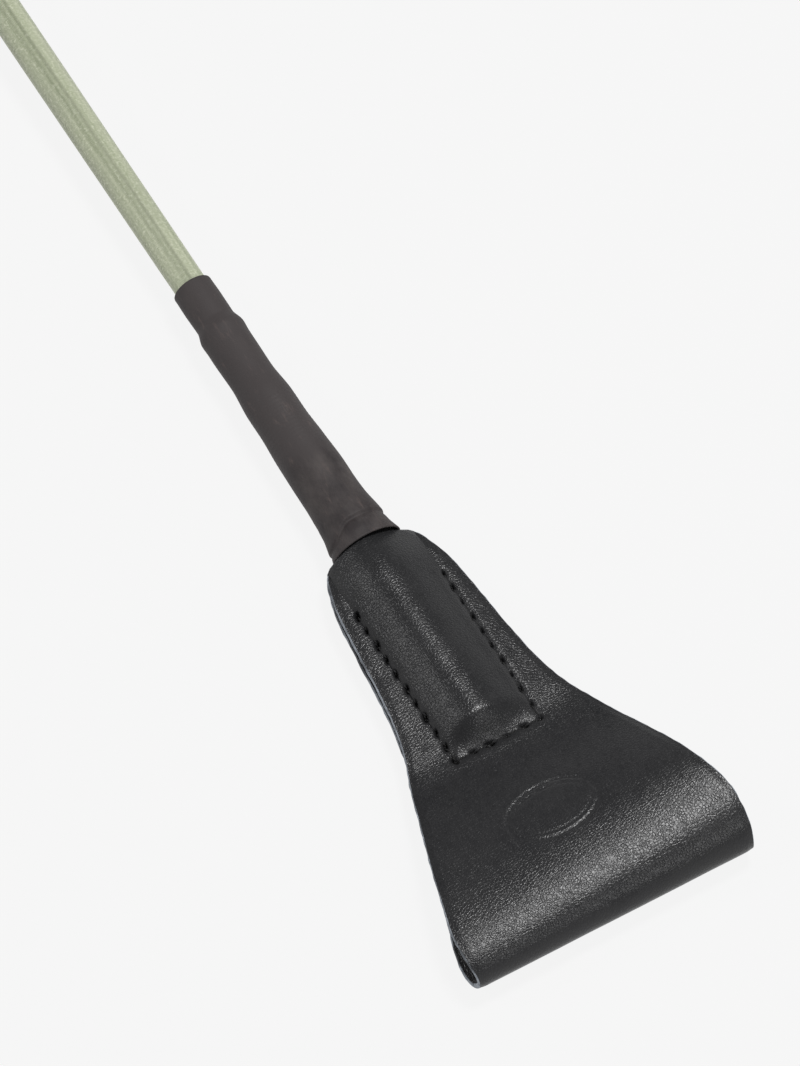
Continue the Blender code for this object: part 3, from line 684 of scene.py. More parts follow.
def edge_taper(k, u, thinning):
    """Share of the leather's thickness: the cut edges are beaten thinner."""
    inset = through(KEEPER_OUTLINE, k) * (1 - np.abs(u))
    return 1 - thinning * (1 - ramp(inset, 0.0, THINNING_REACH))


def contact(k):
    """Height of the plane where the keeper's two leaves meet."""
    return POCKET_CONTACT + (FLAP_CONTACT - POCKET_CONTACT) * ramp(k, *CONTACT_RISE)


def leather_at(k):
    """Thickness of the strip."""
    return SKIVED + (LEATHER - SKIVED) * ramp(k, *THICKENS)


def bulge(k, y):
    """How far the shaft pushes the leaves apart, from 1 over its middle to 0."""
    top, foot = TENT_ROUNDING, math.hypot(1, TENT_ROUNDING)
    share = np.clip(y / POCKET_HALF_WIDTH, -1, 1)
    share = share + RIDGE_SHIFT / POCKET_HALF_WIDTH * (1 - share**2)
    across = (foot - np.hypot(share, top)) / (foot - top)
    return across * (1 - ramp(k, *BULGE_FADE))


def pocket_leaf(k, u, side):
    """Middle of one leaf, at distances k down the rows and shares u of its half width."""
    k, u = np.meshgrid(k, u, indexing="ij")
    thick = leather_at(k)
    shaft = shaft_radius(np.minimum(KEEPER_AT + k, BRAID_END_AT)) + GAP
    flat_y = across_at(k, u, side)
    lift = shaft - side * contact(k)
    flat_z = contact(k) + side * (GAP / 2 + lift * bulge(k, flat_y) + thick / 2)
    margin = np.maximum(flat_y - POCKET_HALF_WIDTH - DROOP_INSET, 0)
    flat_z = flat_z - DROOP * (margin * (1 - ramp(k, *DROOP_FADE)))
    angle, radius = u * TONGUE_ANGLE, shaft + thick / 2
    opened = ramp(k, OPEN_START, 0)
    y = radius * np.sin(angle) * (1 - opened) + flat_y * opened
    z = side * radius * np.cos(angle) * (1 - opened) + flat_z * opened
    return np.stack([k, y, z], axis=2)


def fold_curve(u):
    """The fold's middle line for each u: turned through 0 on the face to 180 degrees under it."""
    turned_by = stretches((0, CREST_TURN, math.pi), (CREST_ROWS, ROUND_ROWS))
    turned_by = np.append(turned_by, math.pi)
    easy = through(EASY_RADIUS, u * EASY_RADIUS[-1][0])
    ease = np.radians(through(EASE, u * EASE[-1][0]))
    fine = np.linspace(0, math.pi, FOLD_STEPS + 1)[:, None]
    radius = TIP_RADIUS + (easy - TIP_RADIUS) * np.exp(-fine / ease)
    radius = radius + (UNDER_RADIUS - TIP_RADIUS) * ramp(fine, *UNDER_TURN)
    step = fine[1, 0]
    along = np.cumsum(radius * np.cos(fine), axis=0) * step
    down = np.cumsum(radius * np.sin(fine), axis=0) * step
    tip = FOLD_STEPS // 2
    at = FOLD_TIP + along - along[tip]
    height = FOLD_TIP_HEIGHT - (down - down[tip])
    picked = np.clip((turned_by / step).round().astype(int), 0, FOLD_STEPS)
    k, z = at[picked], height[picked]
    return np.stack([k, across_at(k, u), z], axis=2)


def flap_face(u, crest):
    """The striking face from the flex line to where the fold begins."""
    share = np.linspace(0, 1, FACE_ROWS, endpoint=False)[:, None]
    low = contact(FLEX_AT) + (GAP + LEATHER) / 2
    near = 0.1
    slope = (contact(FLEX_AT + near) - contact(FLEX_AT - near)) / (2 * near)
    reach = crest[:, 0] - FLEX_AT
    k = FLEX_AT + share * reach
    z = low * (1 - smooth(share)) + crest[:, 2] * smooth(share)
    z = z + reach * slope * share * (1 - share) ** 2
    return np.stack([k, across_at(k, u), z], axis=2)


def flap_back(u, under):
    """The back leaf from the fold to the flex line."""
    share = np.linspace(0, 1, BACK_ROWS + 1)[1:, None]
    k = under[:, 0] + (FLEX_AT - under[:, 0]) * share
    together = contact(k) - (GAP + LEATHER) / 2
    z = together + (under[:, 2] - together) * ramp(k, BACK_OPENS_AT, under[:, 0])
    return np.stack([k, across_at(k, u, -1), z], axis=2)


def strip(u):
    """The middle of the whole strip of leather, from the front tongue round to the back one.

    It also gives each row's side (1 front, 0 fold, -1 back).
    """
    front_k = stretches((-FRONT_TONGUE, -2, FLEX_AT), (25, 168))
    back_k = stretches((FLEX_AT, 10, 0, -BACK_TONGUE), (93, 16, 20))
    back_k = np.append(back_k[1:], -BACK_TONGUE)
    fold = fold_curve(u)
    parts = [
        pocket_leaf(front_k, u, 1),
        flap_face(u, fold[0]),
        fold,
        flap_back(u, fold[-1]),
        pocket_leaf(back_k, u, -1),
    ]
    sides = [1, 1, 0, -1, -1]
    side = np.concatenate([np.full(len(part), s) for part, s in zip(parts, sides)])
    return np.concatenate(parts), side


def facing(middle):
    """Unit normals of a grid of points, towards the grain side, and directions across it."""
    along = np.gradient(middle, axis=0)
    across = unit(np.gradient(middle, axis=1))
    return unit(np.cross(along, across)), across


def stitch_holes():
    """Where the thread passes through, as (k, y), round the three sides of the pocket."""
    side = np.linspace(STITCH_START, STITCH_END, SIDE_HOLES)
    end = np.linspace(-POCKET_HALF_WIDTH, POCKET_HALF_WIDTH, END_GAPS + 1)[1:-1]
    down = [(k, -POCKET_HALF_WIDTH) for k in side]
    across = [(STITCH_END, y) for y in end]
    back = [(k, POCKET_HALF_WIDTH) for k in side[::-1]]
    return np.array(down + across + back)


def hole_depth(k, y):
    """From 0 to 1: how deep each needle hole pulls the leather in. No two dents are alike."""
    holes = stitch_holes()
    ways = unit(np.gradient(holes, axis=0))
    deepest = np.zeros(k.shape)
    for number, ((hole_k, hole_y), way) in enumerate(zip(holes, ways)):
        near = (np.abs(k - hole_k) < DENT_REACH) & (np.abs(y - hole_y) < DENT_REACH)
        dk, dy = k[near] - hole_k, y[near] - hole_y
        askew = 0.16 * math.sin(2.1 * number)
        along = dk * way[0] + dy * way[1] + askew
        across = -dk * way[1] + dy * way[0] + 0.25 * along + askew / 2
        size = (FAR_DENTS if hole_y > 0 else 1.0) + 0.18 * math.sin(3.7 * number + 1)
        flat_bottom = (along / (DENT_LENGTH * size)) ** 4
        deep = np.exp(-flat_bottom - (across / (DENT_WIDTH * size)) ** 2)
        deepest[near] = np.maximum(deepest[near], deep)
    return deepest


def seam_distance(k, y):
    """Distance from the line of stitches."""
    to_side = np.abs(np.abs(y) - POCKET_HALF_WIDTH)
    past_side = np.maximum(np.maximum(STITCH_START - k, k - STITCH_END), 0)
    to_end = np.abs(k - STITCH_END)
    past_end = np.maximum(np.abs(y) - POCKET_HALF_WIDTH, 0)
    return np.minimum(np.hypot(to_side, past_side), np.hypot(to_end, past_end))


def oval_line(k, y, inset, width):
    """1 along an oval that lies this far inside the pressed mark's outline."""
    long, wide = MARK_HALF_LENGTH - inset, MARK_HALF_WIDTH - inset
    share = np.hypot((k - MARK_AT) / long, y / wide)
    distance = np.hypot(k - MARK_AT, y) * (1 - 1 / np.maximum(share, 0.05))
    return hump(distance, 0, width)


def leather_relief(middle, side):
    """Height of the grain side over its plain shape, and the depth of the needle holes."""
    k, y = middle[..., 0], middle[..., 1]
    face, outer = side[:, None] > 0, side[:, None] != 0
    holes = hole_depth(k, y) * outer
    seam = seam_distance(k, y)
    sewn = outer * ramp(k, STITCH_START - 6, STITCH_START)
    sewn = sewn * (1 - ramp(k, STITCH_END + 2, STITCH_END + 5))
    pulled_in = SEAM_DEPTH * hump(seam, 0, SEAM_WIDTH) * sewn * (seam < SEAM_REACH)
    height = -HOLE_DEPTH * holes - pulled_in
    height = height + 0.05 * hump(seam, 1.5, 0.9) * sewn
    height = height + 0.035 * unevenness(k, y, 3.2, 11) * sewn * (1 - hump(seam, 0, 1.0))
    height = height + 0.03 * unevenness(k, y, 6.5, 12) * ramp(k, 2, 8)
    marked = sum(strength * oval_line(k, y, *line) for strength, *line in MARK_LINES)
    height = height - MARK_DEPTH * marked * face
    return height * ramp(k, -2, 3), holes


def build_keeper(look):
    outer_u = np.sin(np.linspace(-1, 1, FACE_COLUMNS) * EDGE_CROWDING) / math.sin(EDGE_CROWDING)
    inner_u = np.sin(np.linspace(1, -1, FLESH_COLUMNS) * math.pi / 2)
    middle, side = strip(outer_u)
    flesh_middle, _ = strip(inner_u)
    half = leather_at(np.where(side == 0, FLEX_AT, middle[:, 0, 0]))[:, None, None] / 2
    normal, across = facing(middle)
    flesh_normal, _ = facing(flesh_middle)
    height, holes = leather_relief(middle, side)
    grain_taper = edge_taper(middle[..., 0], outer_u, GRAIN_THINNING)[..., None]
    flesh_taper = edge_taper(flesh_middle[..., 0], inner_u, FLESH_THINNING)[..., None]
    grain_side = middle + normal * (half * grain_taper + height[..., None])
    flesh_side = flesh_middle + flesh_normal * half * flesh_taper

    def edge(column, way):
        """The cut edge beside one outermost column."""
        shares = np.array(EDGE)[:, 0, None]
        reach = np.array(EDGE)[:, 1, None] * way
        here, out = middle[:, column, None], across[:, column, None]
        frays = unevenness(middle[:, column, 0], side * 9.0, FRAY_LUMP, 21)
        frayed = 1 + FRAYING * frays[:, None, None]
        thin = 1 - (GRAIN_THINNING + FLESH_THINNING) / 2
        depth = half * (shares * thin + (FLESH_THINNING - GRAIN_THINNING) / 2)
        return here + normal[:, column, None] * depth + out * reach * frayed

    right, left = edge(-1, 1), edge(0, -1)[:, ::-1]
    points = np.concatenate([grain_side, right, flesh_side, left], axis=1)
    points[..., 0] += KEEPER_AT
    raw = np.zeros(points.shape[:2])
    raw[:, FACE_COLUMNS : FACE_COLUMNS + len(EDGE)] = 1
    raw[:, -len(EDGE) :] = 1
    # The hole mark carries the painted shade of the needle-hole dents
    hole = np.zeros(points.shape[:2])
    hole[:, :FACE_COLUMNS] = holes
    length = run_length(middle[:, FACE_COLUMNS // 2])
    over_edge = np.arange(1, len(EDGE) + 1) * EDGE_FLAT_STEP
    width = np.concatenate(
        [
            middle[..., 1],
            middle[:, -1:, 1] + over_edge,
            flesh_middle[..., 1] + FLESH_FLAT_START,
            middle[:, :1, 1] - over_edge[::-1],
            middle[:, :1, 1],
        ],
        axis=1,
    )
    uv = np.stack([np.repeat(length[:, None], width.shape[1], axis=1), width], axis=2)
    mesh = grid_mesh("keeper_leather", points, uv=uv, raw=raw, hole=hole)
    nodes = ("keeper_pocket_front", "keeper_pocket_back", "keeper_flap")
    keeper = show(mesh, look, "keeper_leather", None, *nodes)
    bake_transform(keeper)


PLY_RADIUS = 0.15  # each of the two yarns twisted into the thread
TWIST = 1.5  # length of one twist
THREAD_STEP = 0.2
THREAD_SUNK, THREAD_IN_HOLE = 0.14, 0.45  # below the grain side, and above the contact plane


def build_stitches(name, side, look, node):
    """The visible thread of the lockstitch: down in each hole, and over the leather between."""
    holes = stitch_holes()
    over, under = GAP / 2 + LEATHER - THREAD_SUNK, THREAD_IN_HOLE
    line = []
    for here, there in zip(holes, holes[1:]):
        for share in np.linspace(0, 1, 15)[:-1]:
            k, y = here + (there - here) * share
            rise = min(1.0, 1.6 * math.sin(math.pi * share))
            line.append((k, y, contact(k) + side * (under + (over - under) * rise)))
    line.append((*holes[-1], contact(holes[-1][0]) + side * under))
    line = evenly(line, THREAD_STEP)
    way = unit(np.gradient(line, axis=0))
    sideways = unit(np.cross(way, (0.0, 0.0, 1.0)))
    upward = np.cross(sideways, way)
    twist = np.arange(len(line)) * THREAD_STEP * 2 * math.pi / TWIST
    pieces = []
    for start in (0.0, math.pi):
        turned_by = (twist + start)[:, None]
        centre = line + PLY_RADIUS * 0.8 * (np.cos(turned_by) * sideways + np.sin(turned_by) * upward)
        angle = round_angles(8)[None, :, None]
        ring = PLY_RADIUS * (np.cos(angle) * sideways[:, None] + np.sin(angle) * upward[:, None])
        points = centre[:, None] + ring
        points[..., 0] += KEEPER_AT
        pieces.append(points)
    mesh = joined(name, [grid_mesh(name, points) for points in pieces])
    show(mesh, look, "black_thread", "crop", node)


def joined(name, meshes):
    """Several meshes as one."""
    points, faces = [], []
    for mesh in meshes:
        start = len(points)
        points += [vertex.co[:] for vertex in mesh.vertices]
        faces += [[start + i for i in face.vertices] for face in mesh.polygons]
        bpy.data.meshes.remove(mesh)
    whole = bpy.data.meshes.new(name)
    whole.from_pydata(points, [], faces)
    whole.shade_smooth()
    return whole


# ---- Neck sleeve ------------------------------------------------------------------------

SLEEVE_WALL = 0.45
SLEEVE_SIDES = 112
SLEEVE_START, SLEEVE_END = -63.5, 0.4
# (k, half width, half height)
SLEEVE_PROFILE = (
    (SLEEVE_START, 3.9, 3.9),
    (-55.3, 3.9, 3.9),
    (-52.3, 4.57, 4.57),
    (-50.0, 4.45, 4.45),
    (-42.0, 4.45, 4.45),
    (-35.0, 4.9, 4.9),
    (-27.7, 5.06, 5.06),
    (-19.6, 5.35, 5.3),
    (-11.4, 5.6, 5.35),
    (-5.3, 5.95, 5.4),
    (-3.2, 6.2, 5.4),
    (-1.2, 6.65, 5.45),
    (SLEEVE_END, 7.15, 5.5),
)
WHIPPING_START, WHIPPING_END, WHIPPING_CORD = -34.0, -23.2, 0.9
WHIPPING_RELIEF = 0.012
CREASE_BACK, CREASE_SLANT = 4.0, 2.4  # how far it lies behind k = 0, and how it leans at -Y
CREASE_STEP, CREASE_DEPTH = 0.26, 0.20


def sleeve_relief(k, angle):
    """Lumps of what the sleeve is shrunk over, and the crease above its lip."""
    y, z = np.cos(angle), np.sin(angle)
    lumps = 0.10 * unevenness(k, 4 * y, 6.0, 31) + 0.10 * unevenness(k, 4 * z + 40, 6.0, 32)
    pimples = 0.05 * unevenness(k, 8 * y, 1.6, 33) * ramp(k, -16, -8)
    turns = np.sin(2 * math.pi * (k - WHIPPING_START) / WHIPPING_CORD)
    wound = ramp(k, WHIPPING_START - 1, WHIPPING_START) * (1 - ramp(k, WHIPPING_END, WHIPPING_END + 1))
    crease = -CREASE_BACK + CREASE_SLANT * ramp(-y, 0.25, 1.0)
    step = CREASE_STEP * (1 - ramp(k, crease - 0.35, crease + 0.25)) * ramp(k, crease - 5, crease)
    fades = ramp(k, SLEEVE_START, -60) * (1 - ramp(k, -1.6, 0.2))
    height = lumps + pimples + WHIPPING_RELIEF * turns * wound + step
    return (height - CREASE_DEPTH * hump(k, crease + 0.3, 0.5)) * fades


def build_sleeve(look):
    outside = np.append(stretches((SLEEVE_START, -56, SLEEVE_END), (17, 259)), SLEEVE_END)
    inside = np.linspace(SLEEVE_END, SLEEVE_START, 70)
    angle = round_angles(SLEEVE_SIDES)
    widths = [(k, w) for k, w, _ in SLEEVE_PROFILE]
    heights = [(k, h) for k, _, h in SLEEVE_PROFILE]

    def oval(k, shrink, relief=0.0):
        wide = (through(widths, k) - shrink)[:, None] + relief
        high = (through(heights, k) - shrink)[:, None] + relief
        at = np.broadcast_to(KEEPER_AT + k[:, None], (len(k), len(angle)))
        return np.stack([at, wide * np.cos(angle), high * np.sin(angle)], axis=2)

    def rim(k, way):
        """The rounded rim between outside and inside."""
        bend = np.radians(np.linspace(90, -90, 7)[1:-1])
        depth = SLEEVE_WALL / 2
        rings = []
        for a in bend if way > 0 else bend[::-1]:
            rings.append(oval(np.array([k]), depth - depth * math.sin(a))[0])
            rings[-1][:, 0] += way * depth * math.cos(a)
        return np.array(rings)

    grid_k, grid_angle = np.meshgrid(outside, angle, indexing="ij")
    skin = oval(outside, 0.0, sleeve_relief(grid_k, grid_angle))
    lining = oval(inside, SLEEVE_WALL)
    points = np.concatenate([skin, rim(SLEEVE_END, 1), lining, rim(SLEEVE_START, -1)])
    mesh = grid_mesh("sleeve", points, along=True)
    show(mesh, look, "shrink_sleeve", "crop", "neck_sleeve")


# ---- Handle -----------------------------------------------------------------------------

CAP_RADIUS, CAP_FACE_RADIUS, CAP_RIM_AT = 14.0, 9.5, 10.0
CAP_LENGTH, CAP_NECK_RADIUS, SOCKET_DEPTH = 24.0, 10.6, 9.0
FORMER_RADIUS = 7.2
GRIP_START_AT, GRIP_END_AT = CAP_LENGTH + GAP, 212.0
GRIP_PROFILE = (
    (GRIP_START_AT, 10.5),
    (34.0, 10.9),
    (70.0, 10.2),
    (120.0, 9.5),
    (170.0, 9.4),
    (206.0, 9.9),
    (GRIP_END_AT, 9.6),
)
GRIP_ROWS, GRIP_SIDES, GRIP_GIRTH = 470, 192, 62.0
DIAMONDS, DIAMOND_LENGTH, GROOVE, GROOVE_WIDTH = 16, 6.5, 0.55, 0.13
PATTERN_STARTS, PATTERN_ENDS = (40.0, 42.0), (196.0, 198.0)
GRIP_RINGS, RING_DEPTH, RING_WIDTH = (36.5, 38.8, 199.6, 201.9), 0.45, 0.55
NOSE_LENGTH, NOSE_LIP, NOSE_BORE = 18.0, 1.0, 0.15
NOSE_RINGS, NOSE_RING_DEPTH, NOSE_RING_WIDTH = (3.5, 5.6, 7.7), 0.35, 0.42
CAP_COVE = (18.5, 14.2, 3.6, 215, 268)  # the hollow arc between its rim and its neck
PIN_RADIUS, PIN_HALF_LENGTH = 1.25, 12.8
SLOT_HALF_HEIGHT, SLOT_HALF_WIDTH, SLOT_DEPTH = 4.6, 3.6, 10.6
SLOT_FLARE = math.radians(42)
SCREW_RADIUS = 1.5
VOXEL = 0.32  # the cap is remeshed this finely, which rounds its moulded edges


def block(name, outline, height):
    """A plain prism over an outline of (at, y), reaching this far above and below the axis."""
    rows = [[(at, y, z) for at, y in outline] for z in (-height, height)]
    return add_object(name, grid_mesh(name, np.array(rows, float)))


def peg(name, start, end, radius, sides=48):
    """A plain cylinder between two design points."""
    start, end = np.array(start, float), np.array(end, float)
    way = unit(end - start)
    one = np.cross(way, (0.0, 1.0, 0.0))
    other = np.cross(way, one)
    angle = round_angles(sides)[:, None]
    ring = radius * (np.cos(angle) * one + np.sin(angle) * other)
    return add_object(name, grid_mesh(name, np.array([start + ring, end + ring])))


def build_cap(look):
    shoulder = CAP_RADIUS - CAP_FACE_RADIUS
    socket_at, socket = CAP_LENGTH - SOCKET_DEPTH, FORMER_RADIUS + GAP
    profile = [(0.0, 0.02)]
    profile += arc(shoulder, CAP_FACE_RADIUS, shoulder, 180, 90, 16)
    profile += [(CAP_RIM_AT, CAP_RADIUS)]
    profile += arc(*CAP_COVE, 12)
    profile += [(CAP_LENGTH, CAP_NECK_RADIUS), (CAP_LENGTH, socket)]
    profile += [(socket_at, socket), (socket_at, 0.02)]
    cap = add_object("cap", turned("cap", profile, 128))
    half, flare_at, reach = SLOT_HALF_WIDTH, PIN_AT + 1.0, 4.0
    spread = half + (flare_at + reach) * math.tan(SLOT_FLARE)
    outline = [(SLOT_DEPTH, -half), (SLOT_DEPTH, half), (flare_at, half)]
    outline += [(-reach, spread), (-reach, -spread), (flare_at, -half)]
    tall = CAP_RADIUS + 2
    cutters = [
        block("slot_cutter", outline, SLOT_HALF_HEIGHT),
        peg("pin_cutter", (PIN_AT, 0, -tall), (PIN_AT, 0, tall), PIN_RADIUS + 0.2),
        peg("screw_cutter", (SLOT_DEPTH - 2, 0, 0), (CAP_LENGTH, 0, 0), SCREW_RADIUS + GAP),
    ]
    for cutter in cutters:
        cut = cap.modifiers.new(cutter.name, "BOOLEAN")
        cut.operation, cut.object = "DIFFERENCE", cutter
    remesh = cap.modifiers.new("mould", "REMESH")
    remesh.mode, remesh.voxel_size = "VOXEL", VOXEL * MM
    soften = cap.modifiers.new("soften", "SMOOTH")
    soften.factor, soften.iterations = 0.5, 4
    mesh = finished(cap)
    for cutter in cutters:
        bpy.data.objects.remove(cutter)
    show(mesh, look, "black_plastic", "crop", "butt_cap")


def grip_relief(at, angle):
    """Diamond pads between crossed helical grooves, with plain bands and rings at the ends."""
    patterned = ramp(at, *PATTERN_STARTS) * (1 - ramp(at, *PATTERN_ENDS))
    depth = np.zeros(at.shape)
    for way in (1, -1):
        turns = DIAMONDS * angle / (2 * math.pi) + way * at / DIAMOND_LENGTH
        off = np.abs((turns + 0.5) % 1 - 0.5)
        depth = np.maximum(depth, hump(off, 0, GROOVE_WIDTH))
    rings = sum(hump(at, ring, RING_WIDTH) for ring in GRIP_RINGS)
    return -GROOVE * depth * patterned - RING_DEPTH * rings


def build_grip(look):
    soft = 0.5  # the ends are rounded by this much
    at = np.linspace(GRIP_START_AT + soft, GRIP_END_AT - soft, GRIP_ROWS)
    outside = list(zip(at, through(GRIP_PROFILE, at)))
    inner = FORMER_RADIUS + GAP

    def relief(at, angle):
        on_outside = np.arange(len(at))[:, None] < GRIP_ROWS
        return grip_relief(at, angle) * on_outside

    start = [(GRIP_START_AT, outside[0][1] - soft)]
    end = [(GRIP_END_AT, outside[-1][1] - soft)]
    profile = outside + end + [(GRIP_END_AT, inner), (GRIP_START_AT, inner)] + start
    mesh = turned("grip", profile, GRIP_SIDES, girth=GRIP_GIRTH, closed=True, relief=relief)
    show(mesh, look, "grip_rubber", "crop", "rubber_grip")


def build_nose(look):
    start = GRIP_END_AT + GAP
    end = start + NOSE_LENGTH
    wide = float(through(GRIP_PROFILE, GRIP_END_AT))
    narrow = shaft_radius(end) + NOSE_LIP
    share = np.linspace(0.02, 0.97, 110)
    at = start + NOSE_LENGTH * share
    radius = narrow + (wide - narrow) * (1 - share) ** 1.6
    for ring in NOSE_RINGS:
        radius = radius - NOSE_RING_DEPTH * hump(at, start + ring, NOSE_RING_WIDTH)
    outside = list(zip(at, radius))
    rim = [(end - 0.12, narrow - 0.05), (end, narrow - 0.35)]
    bore = [(here, shaft_radius(here) + NOSE_BORE) for here in (end, start)]
    profile = outside + rim + bore + [(start, wide - 0.4)]
    mesh = turned("nose", profile, 96, closed=True)
    show(mesh, look, "grip_rubber", "crop", "grip_nose")


# ---- Wrist loop -------------------------------------------------------------------------

STRAP_WIDTH, STRAP = 8.0, 1.5
PLY = STRAP + 0.25
LOOP_REACH, STEM_END, LOOP_HALF_WIDTH = 170.0, -55.0, 32.0
LOOP_DROP = 12.0  # the loop's far end lies this much lower than the stem
RIVET_AT, RIVET_RADIUS, RIVET_HEAD = -13.0, 1.1, 2.4
SLIDER_AT, SLIDER_LENGTH, SLIDER_WALL = -23.0, 7.0, 1.2
PEAR_PEAK = 0.65  # the widest value of the loop's pear shape, before it is scaled
STRAP_STEP = 0.75
STRAP_CORNER = 0.55
LINE_DEPTH, LINE_INSET, LINE_WIDTH = 0.14, 1.1, 0.28  # creased line by each edge


def loop_side():
    """One side of the loop, as (at, y), from the stem nearly to the far end."""
    length = LOOP_REACH + STEM_END - STRAP / 2
    width = LOOP_HALF_WIDTH - STRAP / 2 - PLY / 2
    side = []
    for t in np.linspace(0.0, math.pi, 61)[1:-1]:
        away = (1 - math.cos(t)) / 2
        spread = math.sin(t) * away / PEAR_PEAK
        side.append((STEM_END - length * away, PLY / 2 + width * spread))
    return side


def strap_route():
    """The strap's middle line as (at, y): tail, round the pin, out, round the loop, back."""
    wrap = PIN_RADIUS + 0.3 + STRAP / 2
    side = loop_side()
    stem = [(at, PLY / 2) for at in np.linspace(RIVET_AT - 9.0, STEM_END, 4)]
    outer = [(0.5, 2.25), (-4.0, PLY), (RIVET_AT, PLY), (RIVET_AT - 5.0, PLY)]
    route = [(RIVET_AT - 4.0, 0.0), (RIVET_AT + 3.0, 0.0), (-5.0, -0.5), (-1.0, -1.7)]
    route += arc(PIN_AT, 0.0, wrap, -80, 80, 16)
    route += outer + stem + side
    route.append((STRAP / 2 - LOOP_REACH, 0.0))
    route += [(at, -y) for at, y in reversed(stem + side)]
    route += [(RIVET_AT - 5.0, -PLY), (RIVET_AT, -PLY), (RIVET_AT + 3.0, -PLY)]
    return route


def strap_section():
    """The strap's cross section as (out, up, edge): flat faces with a creased line by each edge."""
    half, tall, corner = STRAP / 2, STRAP_WIDTH / 2, STRAP_CORNER
    up = np.linspace(-tall + corner, tall - corner, 17)
    creased = half - LINE_DEPTH * hump(np.abs(up), tall - LINE_INSET, LINE_WIDTH)
    face = [(out, z, 0.0) for out, z in zip(creased, up)]
    rounding = np.radians(np.linspace(0, 90, 6))[1:]
    top = [
        (half - corner + corner * math.cos(a), tall - corner + corner * math.sin(a), 1.0)
        for a in rounding
    ]
    other = [(-out, z, edge) for out, z, edge in reversed(top)]
    upper = face + top + other
    return np.array(upper + [(-out, -z, edge) for out, z, edge in upper])


def build_strap(look):
    line = evenly(strap_route(), STRAP_STEP / 3)
    spread = np.exp(-np.linspace(-2, 2, 9) ** 2)
    share = spread / spread.sum()
    padded = np.pad(line, ((4, 4), (0, 0)), mode="edge")
    line = np.stack([np.convolve(column, share, "valid") for column in padded.T], axis=1)
    line = evenly(line, STRAP_STEP)
    way = unit(np.gradient(line, axis=0))
    out = np.stack([-way[:, 1], way[:, 0]], axis=1)
    section = strap_section()
    height = -LOOP_DROP * ramp(-line[:, 0], -STEM_END, LOOP_REACH)
    trim = np.ones(len(line))
    trim[[0, -1]] = 0.86
    at_y = line[:, None] + out[:, None] * (section[None, :, 0, None] * trim[:, None, None])
    z = height[:, None] + section[None, :, 1] * trim[:, None]
    points = np.concatenate([at_y, z[..., None]], axis=2)
    girth = run_length(np.vstack([section, section[:1]])[:, :2])
    uv = pairs(np.arange(len(line)) * STRAP_STEP, girth)
    edge = np.repeat(section[None, :, 2], len(line), axis=0)
    mesh = grid_mesh("strap", points, uv=uv, edge=edge)
    show(mesh, look, "strap_leather", "loop", "wrist_strap")


def build_slider(look):
    """The leather band on the stem: a rounded oblong ring with softened rims."""
    clear_y, clear_z = PLY / 2 + STRAP / 2 + 0.3, STRAP_WIDTH / 2 + 0.35
    soft = 0.3
    front, back = SLIDER_AT, SLIDER_AT - SLIDER_LENGTH
    turn_round = np.radians(np.linspace(90, 0, 5))
    outer_rim = [
        (soft - soft * math.cos(a), SLIDER_WALL - soft + soft * math.sin(a)) for a in turn_round
    ]
    face = np.linspace(front - soft, back + soft, 15)
    crease = 0.12 * (hump(face, front - 1.3, 0.3) + hump(face, back + 1.3, 0.3))
    profile = [(at, SLIDER_WALL - dent) for at, dent in zip(face, crease)]
    profile += [(back + inset, grow) for inset, grow in outer_rim[1:]]
    profile += [(back + 0.1, 0.1), (back + 0.3, 0.0), (front - 0.3, 0.0), (front - 0.1, 0.1)]
    profile += [(front - inset, grow) for inset, grow in reversed(outer_rim[1:])]
    rows = []
    for at, grow in profile:
        y, z, corner = clear_y + grow, clear_z + grow, 0.2 + grow * 0.7
        quarter = [(y - corner, z - corner, a) for a in np.radians(np.linspace(0, 90, 9))]
        ring = []
        for spin in range(4):
            sign_y, sign_z = ((1, 1), (-1, 1), (-1, -1), (1, -1))[spin]
            arc_points = quarter if spin % 2 == 0 else quarter[::-1]
            ring += [
                (at, sign_y * (cy + corner * math.cos(a)), sign_z * (cz + corner * math.sin(a)))
                for cy, cz, a in arc_points
            ]
        rows.append(ring)
    points = np.array(rows)
    ring = points[0, :, 1:]
    girth = run_length(np.vstack([ring, ring[:1]]))
    uv = pairs(np.arange(len(profile) + 1) * 0.5, girth)
    edge = np.zeros(points.shape[:2])
    mesh = grid_mesh("slider", points, along=True, uv=uv, edge=edge)
    show(mesh, look, "strap_leather", "slider", "strap_slider")


def cross_turned(name, profile, centre, along_y, sides=64):
    """A mesh turned about a line through centre along Y, or along Z."""
    points = turned_points(profile, sides)
    reach, one, other = points[..., 0], points[..., 1], points[..., 2]
    order = [one, reach, other] if along_y else [one, other, reach]
    return grid_mesh(name, np.stack(order, axis=2) + np.array(centre, float))


def build_rivet(look):
    """A domed rivet through the three layers of the strap."""
    reach = PLY + STRAP / 2 + 0.2
    dome = [(reach + 0.7 * math.sin(a), RIVET_HEAD * math.cos(a)) for a in np.linspace(0.15, 1.55, 14)]
    half = [(reach, RIVET_RADIUS), (reach, RIVET_HEAD - 0.1)] + dome
    mesh = cross_turned("rivet", both_ways(half), (RIVET_AT, 0, 0), True)
    show(mesh, look, "nickel_steel", "loop", "strap_rivet")


def build_pin(look):
    """The cross pin, with rounded ends."""
    end, round_by = PIN_HALF_LENGTH, 0.45
    bend = [
        (end - round_by + round_by * math.sin(a), PIN_RADIUS - round_by + round_by * math.cos(a))
        for a in np.linspace(0, math.pi / 2, 8)
    ]
    half = [(0.1, PIN_RADIUS)] + bend + [(end, 0.02)]
    mesh = cross_turned("cross_pin", both_ways(half), (PIN_AT, 0, 0), False)
    show(mesh, look, "nickel_steel", "crop", "loop_pin")


# ---- Stage ------------------------------------------------------------------------------

